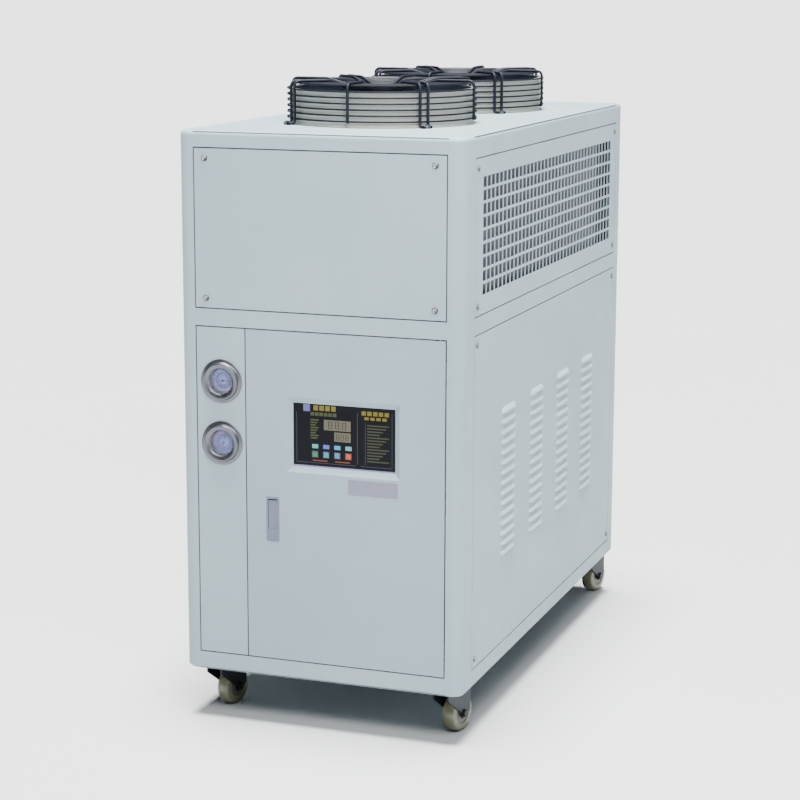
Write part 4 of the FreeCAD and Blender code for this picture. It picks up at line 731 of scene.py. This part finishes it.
def make_gauges():
    """Polished cases with a broad flange and a domed bezel, and dials with rings and ticks."""
    low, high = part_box("gauge_cases")
    radius = (high[0] - low[0]) / 2
    centre_x = (low[0] + high[0]) / 2
    cases, dials = bmesh.new(), bmesh.new()
    for centre_z, arc_start, arc_steps in ((high[2] - radius, 205, 18), (low[2] + radius, 80, 17)):
        out = facing(centre_x, FRONT, centre_z, "-Y")
        add_lathe(cases, in_metres(GAUGE_CASE), out, steps=72)
        disc = ((24.9, DIAL_FLOOR), (24.9, DIAL_FACE), (0, DIAL_FACE))
        add_lathe(dials, in_metres(disc), out)
        for inner, outer, rise, ink in DIAL_RINGS:
            rim = [(outer, DIAL_FACE), (outer, DIAL_FACE + rise), (inner, DIAL_FACE + rise)]
            if inner:
                rim.append((inner, DIAL_FACE))
            add_lathe(dials, in_metres(rim), out, material=ink)
        # Ticks over 270 degrees, with every fifth one longer and wider
        for i in range(31):
            start, width = (17.0, 0.55) if i % 5 == 0 else (19.2, 0.28)
            spin = out @ Matrix.Rotation(math.radians(225 - 9 * i), 4, "Z")
            add_dial_mark(dials, spin, (start, -width), (22.2, width), 0.2, 1)
        # The coloured arc of the scale, in short blocks
        for i in range(arc_steps):
            spin = out @ Matrix.Rotation(math.radians(arc_start + 7 * i), 4, "Z")
            add_dial_mark(dials, spin, (16.4, -1.25), (21.6, 1.25), 0.1, 4)
        add_dial_mark(dials, out, (-6, -11.4), (6, -10.4), 0.2, 1)
    case = mesh_piece("polished_gauge_cases", cases, STEEL, "cabinet", 40)
    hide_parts("gauge_cases")
    face = mesh_piece("printed_gauge_dials", dials,
                      [DIAL, DIAL_MARK, DIAL_RING, DIAL_CENTRE, DIAL_ARC],
                      "cabinet", 40)
    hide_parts("gauge_dials")


# Controller front

def make_controller_print():
    """The printed foil of the controller: fields, bars and lines with no words."""
    low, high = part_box("controller")
    width, height = high[0] - low[0], high[2] - low[2]
    face_y = FRONT + 8 * MM
    bm = bmesh.new()
    names = list(INKS)

    def field(left, right, upper, lower, ink, rise=0.25):
        """A field between shares of the face's width from its left and its height from its top."""
        add_box(bm, (low[0] + left * width, face_y - rise * MM, high[2] - lower * height),
                (low[0] + right * width, face_y + 0.02 * MM, high[2] - upper * height),
                material=names.index(ink))

    def bars(count, left, pitch, wide, upper, lower, ink):
        """A row of equal fields."""
        for i in range(count):
            field(left + pitch * i, left + wide + pitch * i, upper, lower, ink)

    def digit(left, upper, wide, tall):
        """A figure of seven strokes, all lit."""
        stroke, rise = 0.22 * wide, 0.85
        for k in range(3):
            at = upper + k * (tall - stroke) / 2
            field(left, left + wide, at, at + stroke, "digit", rise)
        for at in (left, left + wide - stroke):
            field(at, at + stroke, upper, upper + tall, "digit", rise)

    # Thin frame lines, the two rules before the right third, and the lower lip
    for left, right, upper, lower, ink in (
        (0.03, 0.036, 0.14, 0.93, "grey"), (0.03, 0.62, 0.925, 0.935, "grey"),
        (0.628, 0.634, 0.10, 0.90, "grey"), (0.706, 0.711, 0.24, 0.90, "grey"),
        (0.966, 0.971, 0.08, 0.93, "grey"), (0.66, 0.97, 0.925, 0.935, "grey"),
        (0.0, 1.0, 0.978, 1.0, "lip"),
    ):
        field(left, right, upper, lower, ink, rise=0.2)
    # Upper left: badge field, heading blobs, the bar under them and the lines of a list
    field(0.10, 0.165, 0.01, 0.12, "lilac")
    bars(4, 0.20, 0.058, 0.045, 0.02, 0.10, "yellow")
    bars(6, 0.17, 0.044, 0.036, 0.13, 0.185, "olive")
    for i in range(8):
        field(0.17, 0.25 - 0.014 * (i % 3), 0.24 + 0.041 * i, 0.262 + 0.041 * i, "olive")
    # Displays with their figures
    field(0.303, 0.567, 0.236, 0.400, "display", rise=0.75)
    field(0.405, 0.567, 0.424, 0.570, "display", rise=0.75)
    for i in range(3):
        digit(0.345 + 0.068 * i, 0.262, wide=0.042, tall=0.112)
        digit(0.422 + 0.046 * i, 0.452, wide=0.032, tall=0.09)
    # Row of lamps over the keys, and the lines under them
    for i, ink in enumerate(("aqua", "periwinkle", "sky", "aqua")):
        field(0.186 + 0.1096 * i, 0.246 + 0.1096 * i, 0.635, 0.700, ink)
    bars(2, 0.19, 0.22, 0.15, 0.882, 0.900, "orange")
    # Right third: heading and its lines
    bars(5, 0.672, 0.056, 0.042, 0.06, 0.125, "yellow")
    bars(4, 0.70, 0.058, 0.042, 0.15, 0.195, "yellow")
    for i in range(13):
        field(0.725, 0.94 - 0.03 * ((i * 5) % 4), 0.27 + 0.047 * i, 0.29 + 0.047 * i, "text")
    mesh_piece("controller_print", bm, list(INKS.values()), "door", 0)


def make_key_tops():
    """A printed top on each key, riding on it."""
    inset, rise, sunk = 1.6 * MM, 0.25 * MM, 0.05 * MM
    for i, ink in enumerate(("green", "cyan", "blue", "red"), 1):
        low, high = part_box(f"key_{i}")
        bm = bmesh.new()
        add_box(bm, (low[0] + inset, low[1] - rise, low[2] + inset),
                (high[0] - inset, low[1] + sunk, high[2] - inset))
        mesh_piece(f"key_{i}_top", bm, INKS[ink], f"key_{i}", 0)


def make_label_plate():
    """A bare plate under the controller, where the photo has a label."""
    left, right, lower, upper, rise, sunk = (v * MM for v in (59, 160, 481, 511, 0.35, 0.05))
    bm = bmesh.new()
    add_box(bm, (left, FRONT - rise, lower), (right, FRONT + sunk, upper))
    mesh_piece("bare_plate", bm, PLATE, "door", 0)


# Casters

def make_wheels():
    """Wheels with a crowned tread, a side groove and a hub, on the axle's own line."""
    yaw, hub_radius = math.radians(-13), 22.4 * MM
    half = [(4.1, 14), (9, 14), (10, 13.2), (22, 12.4), (23, 13.6), (31, 13.8), (34.5, 12.6),
            (36.6, 9.5), (37.4, 5), (37.5, 0)]
    profile = in_metres(half + [(r, -h) for r, h in half[-2::-1]])
    for corner in CORNERS:
        low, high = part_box(f"{corner}_caster_wheel")
        centre = (Vector(low) + Vector(high)) / 2
        turn = (Matrix.Translation(centre) @ Matrix.Rotation(yaw, 4, "Z")
                @ Matrix.Rotation(math.radians(90), 4, "Y"))
        bm = bmesh.new()
        add_lathe(bm, profile, turn, steps=72, closed=True)
        for face in bm.faces:
            middle = turn.inverted() @ face.calc_center_median()
            face.material_index = 1 if middle.xy.length < hub_radius else 0
        wheel = mesh_piece(f"{corner}_wheel_rubber", bm, [TREAD, HUB], f"{corner}_caster_wheel",
                           30)
        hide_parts(f"{corner}_caster_wheel")


for end in ("front", "rear"):
    make_guard(f"{end}_fan_guard", f"{end}_wire_guard")
make_rings()
for make, node, made in ((make_grille, "grille", "punched_grille"),
                         (make_louvres, "louvre_panel", "pressed_louvres"),
                         (make_coil, "condenser", "fin_coil")):
    for side, sign in (("right", 1), ("left", -1)):
        make(f"{side}_{node}", f"{side}_{made}", sign)
make_panel_screws()
make_guard_screws()
make_gauges()
make_controller_print()
make_key_tops()
make_label_plate()
make_wheels()


# Camera, floor and light

def make_camera():
    """The camera that was fitted to the edges of the cabinet and its panels in the photo."""
    azimuth, elevation, roll = (math.radians(a) for a in (19.69, 11.14, 0.155))
    place = (1.5072, -4.3415, 1.4581)
    back = Vector((math.sin(azimuth) * math.cos(elevation),
                   -math.cos(azimuth) * math.cos(elevation), math.sin(elevation)))
    right = Vector((math.cos(azimuth), math.sin(azimuth), 0))
    up = back.cross(right)
    c, s = math.cos(roll), math.sin(roll)
    turned = Matrix((c * right + s * up, -s * right + c * up, back)).transposed()
    camera = bpy.data.objects.new("camera", bpy.data.cameras.new("camera"))
    camera.data.lens = 97.42
    camera.data.sensor_width = 36
    camera.matrix_world = Matrix.Translation(place) @ turned.to_4x4()
    bpy.context.scene.collection.objects.link(camera)
    bpy.context.scene.camera = camera


def make_floor():
    """A pale floor that goes on to the horizon."""
    reach = 150
    bm = bmesh.new()
    bm.faces.new([bm.verts.new((x * reach, y * reach, 0))
                  for x, y in ((-1, -1), (1, -1), (1, 1), (-1, 1))])
    mesh = bpy.data.meshes.new("floor")
    bm.to_mesh(mesh)
    bm.free()
    finish = Finish("floor_paper", roughness=0.9).set(Specular_IOR_Level=0.1)
    finish.colour("ABACAD", "AEAFB0", finish.noise(scale=0.8))
    mesh.materials.append(finish.material)
    floor = bpy.data.objects.new("floor", mesh)
    bpy.context.scene.collection.objects.link(floor)


def make_ceiling(angle, strength):
    """A broad light straight overhead, as of a studio's ceiling, of an angle in degrees."""
    data = bpy.data.lights.new("ceiling", "SUN")
    data.angle = math.radians(angle)
    data.energy = strength
    bpy.context.scene.collection.objects.link(bpy.data.objects.new("ceiling", data))


def make_window(place, aim, size, power, colour):
    """A square soft light that faces a point."""
    data = bpy.data.lights.new("window", "AREA")
    data.size = size
    data.energy = power
    data.color = colour
    light = bpy.data.objects.new("window", data)
    facing_aim = (Vector(aim) - Vector(place)).to_track_quat("-Z", "Y").to_matrix()
    light.matrix_world = Matrix.Translation(place) @ facing_aim.to_4x4()
    bpy.context.scene.collection.objects.link(light)


def make_world(left, right, backdrop):
    """Soft light from all round, of one strength at the left and another at the right."""
    world = bpy.data.worlds.new("studio")
    bpy.context.scene.world = world
    world.use_nodes = True
    nodes, links = world.node_tree.nodes, world.node_tree.links
    background = nodes["Background"]
    background.inputs["Color"].default_value = (0.93, 0.96, 1.0, 1)
    split = nodes.new("ShaderNodeSeparateXYZ")
    links.new(nodes.new("ShaderNodeTexCoord").outputs["Generated"], split.inputs["Vector"])
    strength = nodes.new("ShaderNodeMapRange")
    strength.inputs["From Min"].default_value = -1
    strength.inputs["To Min"].default_value = left
    strength.inputs["To Max"].default_value = right
    links.new(split.outputs["X"], strength.inputs["Value"])
    # Seen directly, over the horizon, it is as pale as the floor
    seen = nodes.new("ShaderNodeMix")
    seen.inputs["B"].default_value = backdrop
    links.new(nodes.new("ShaderNodeLightPath").outputs["Is Camera Ray"], seen.inputs["Factor"])
    links.new(strength.outputs["Result"], seen.inputs["A"])
    links.new(seen.outputs["Result"], background.inputs["Strength"])


make_camera()
make_floor()
make_world(left=0.1, right=0.25, backdrop=2.8)
make_ceiling(angle=24, strength=22)
make_window(place=(1.3, -2.4, 2.8), aim=(0.1, -0.5, 0.8), size=1.2, power=150,
            colour=(0.97, 0.99, 1.0))
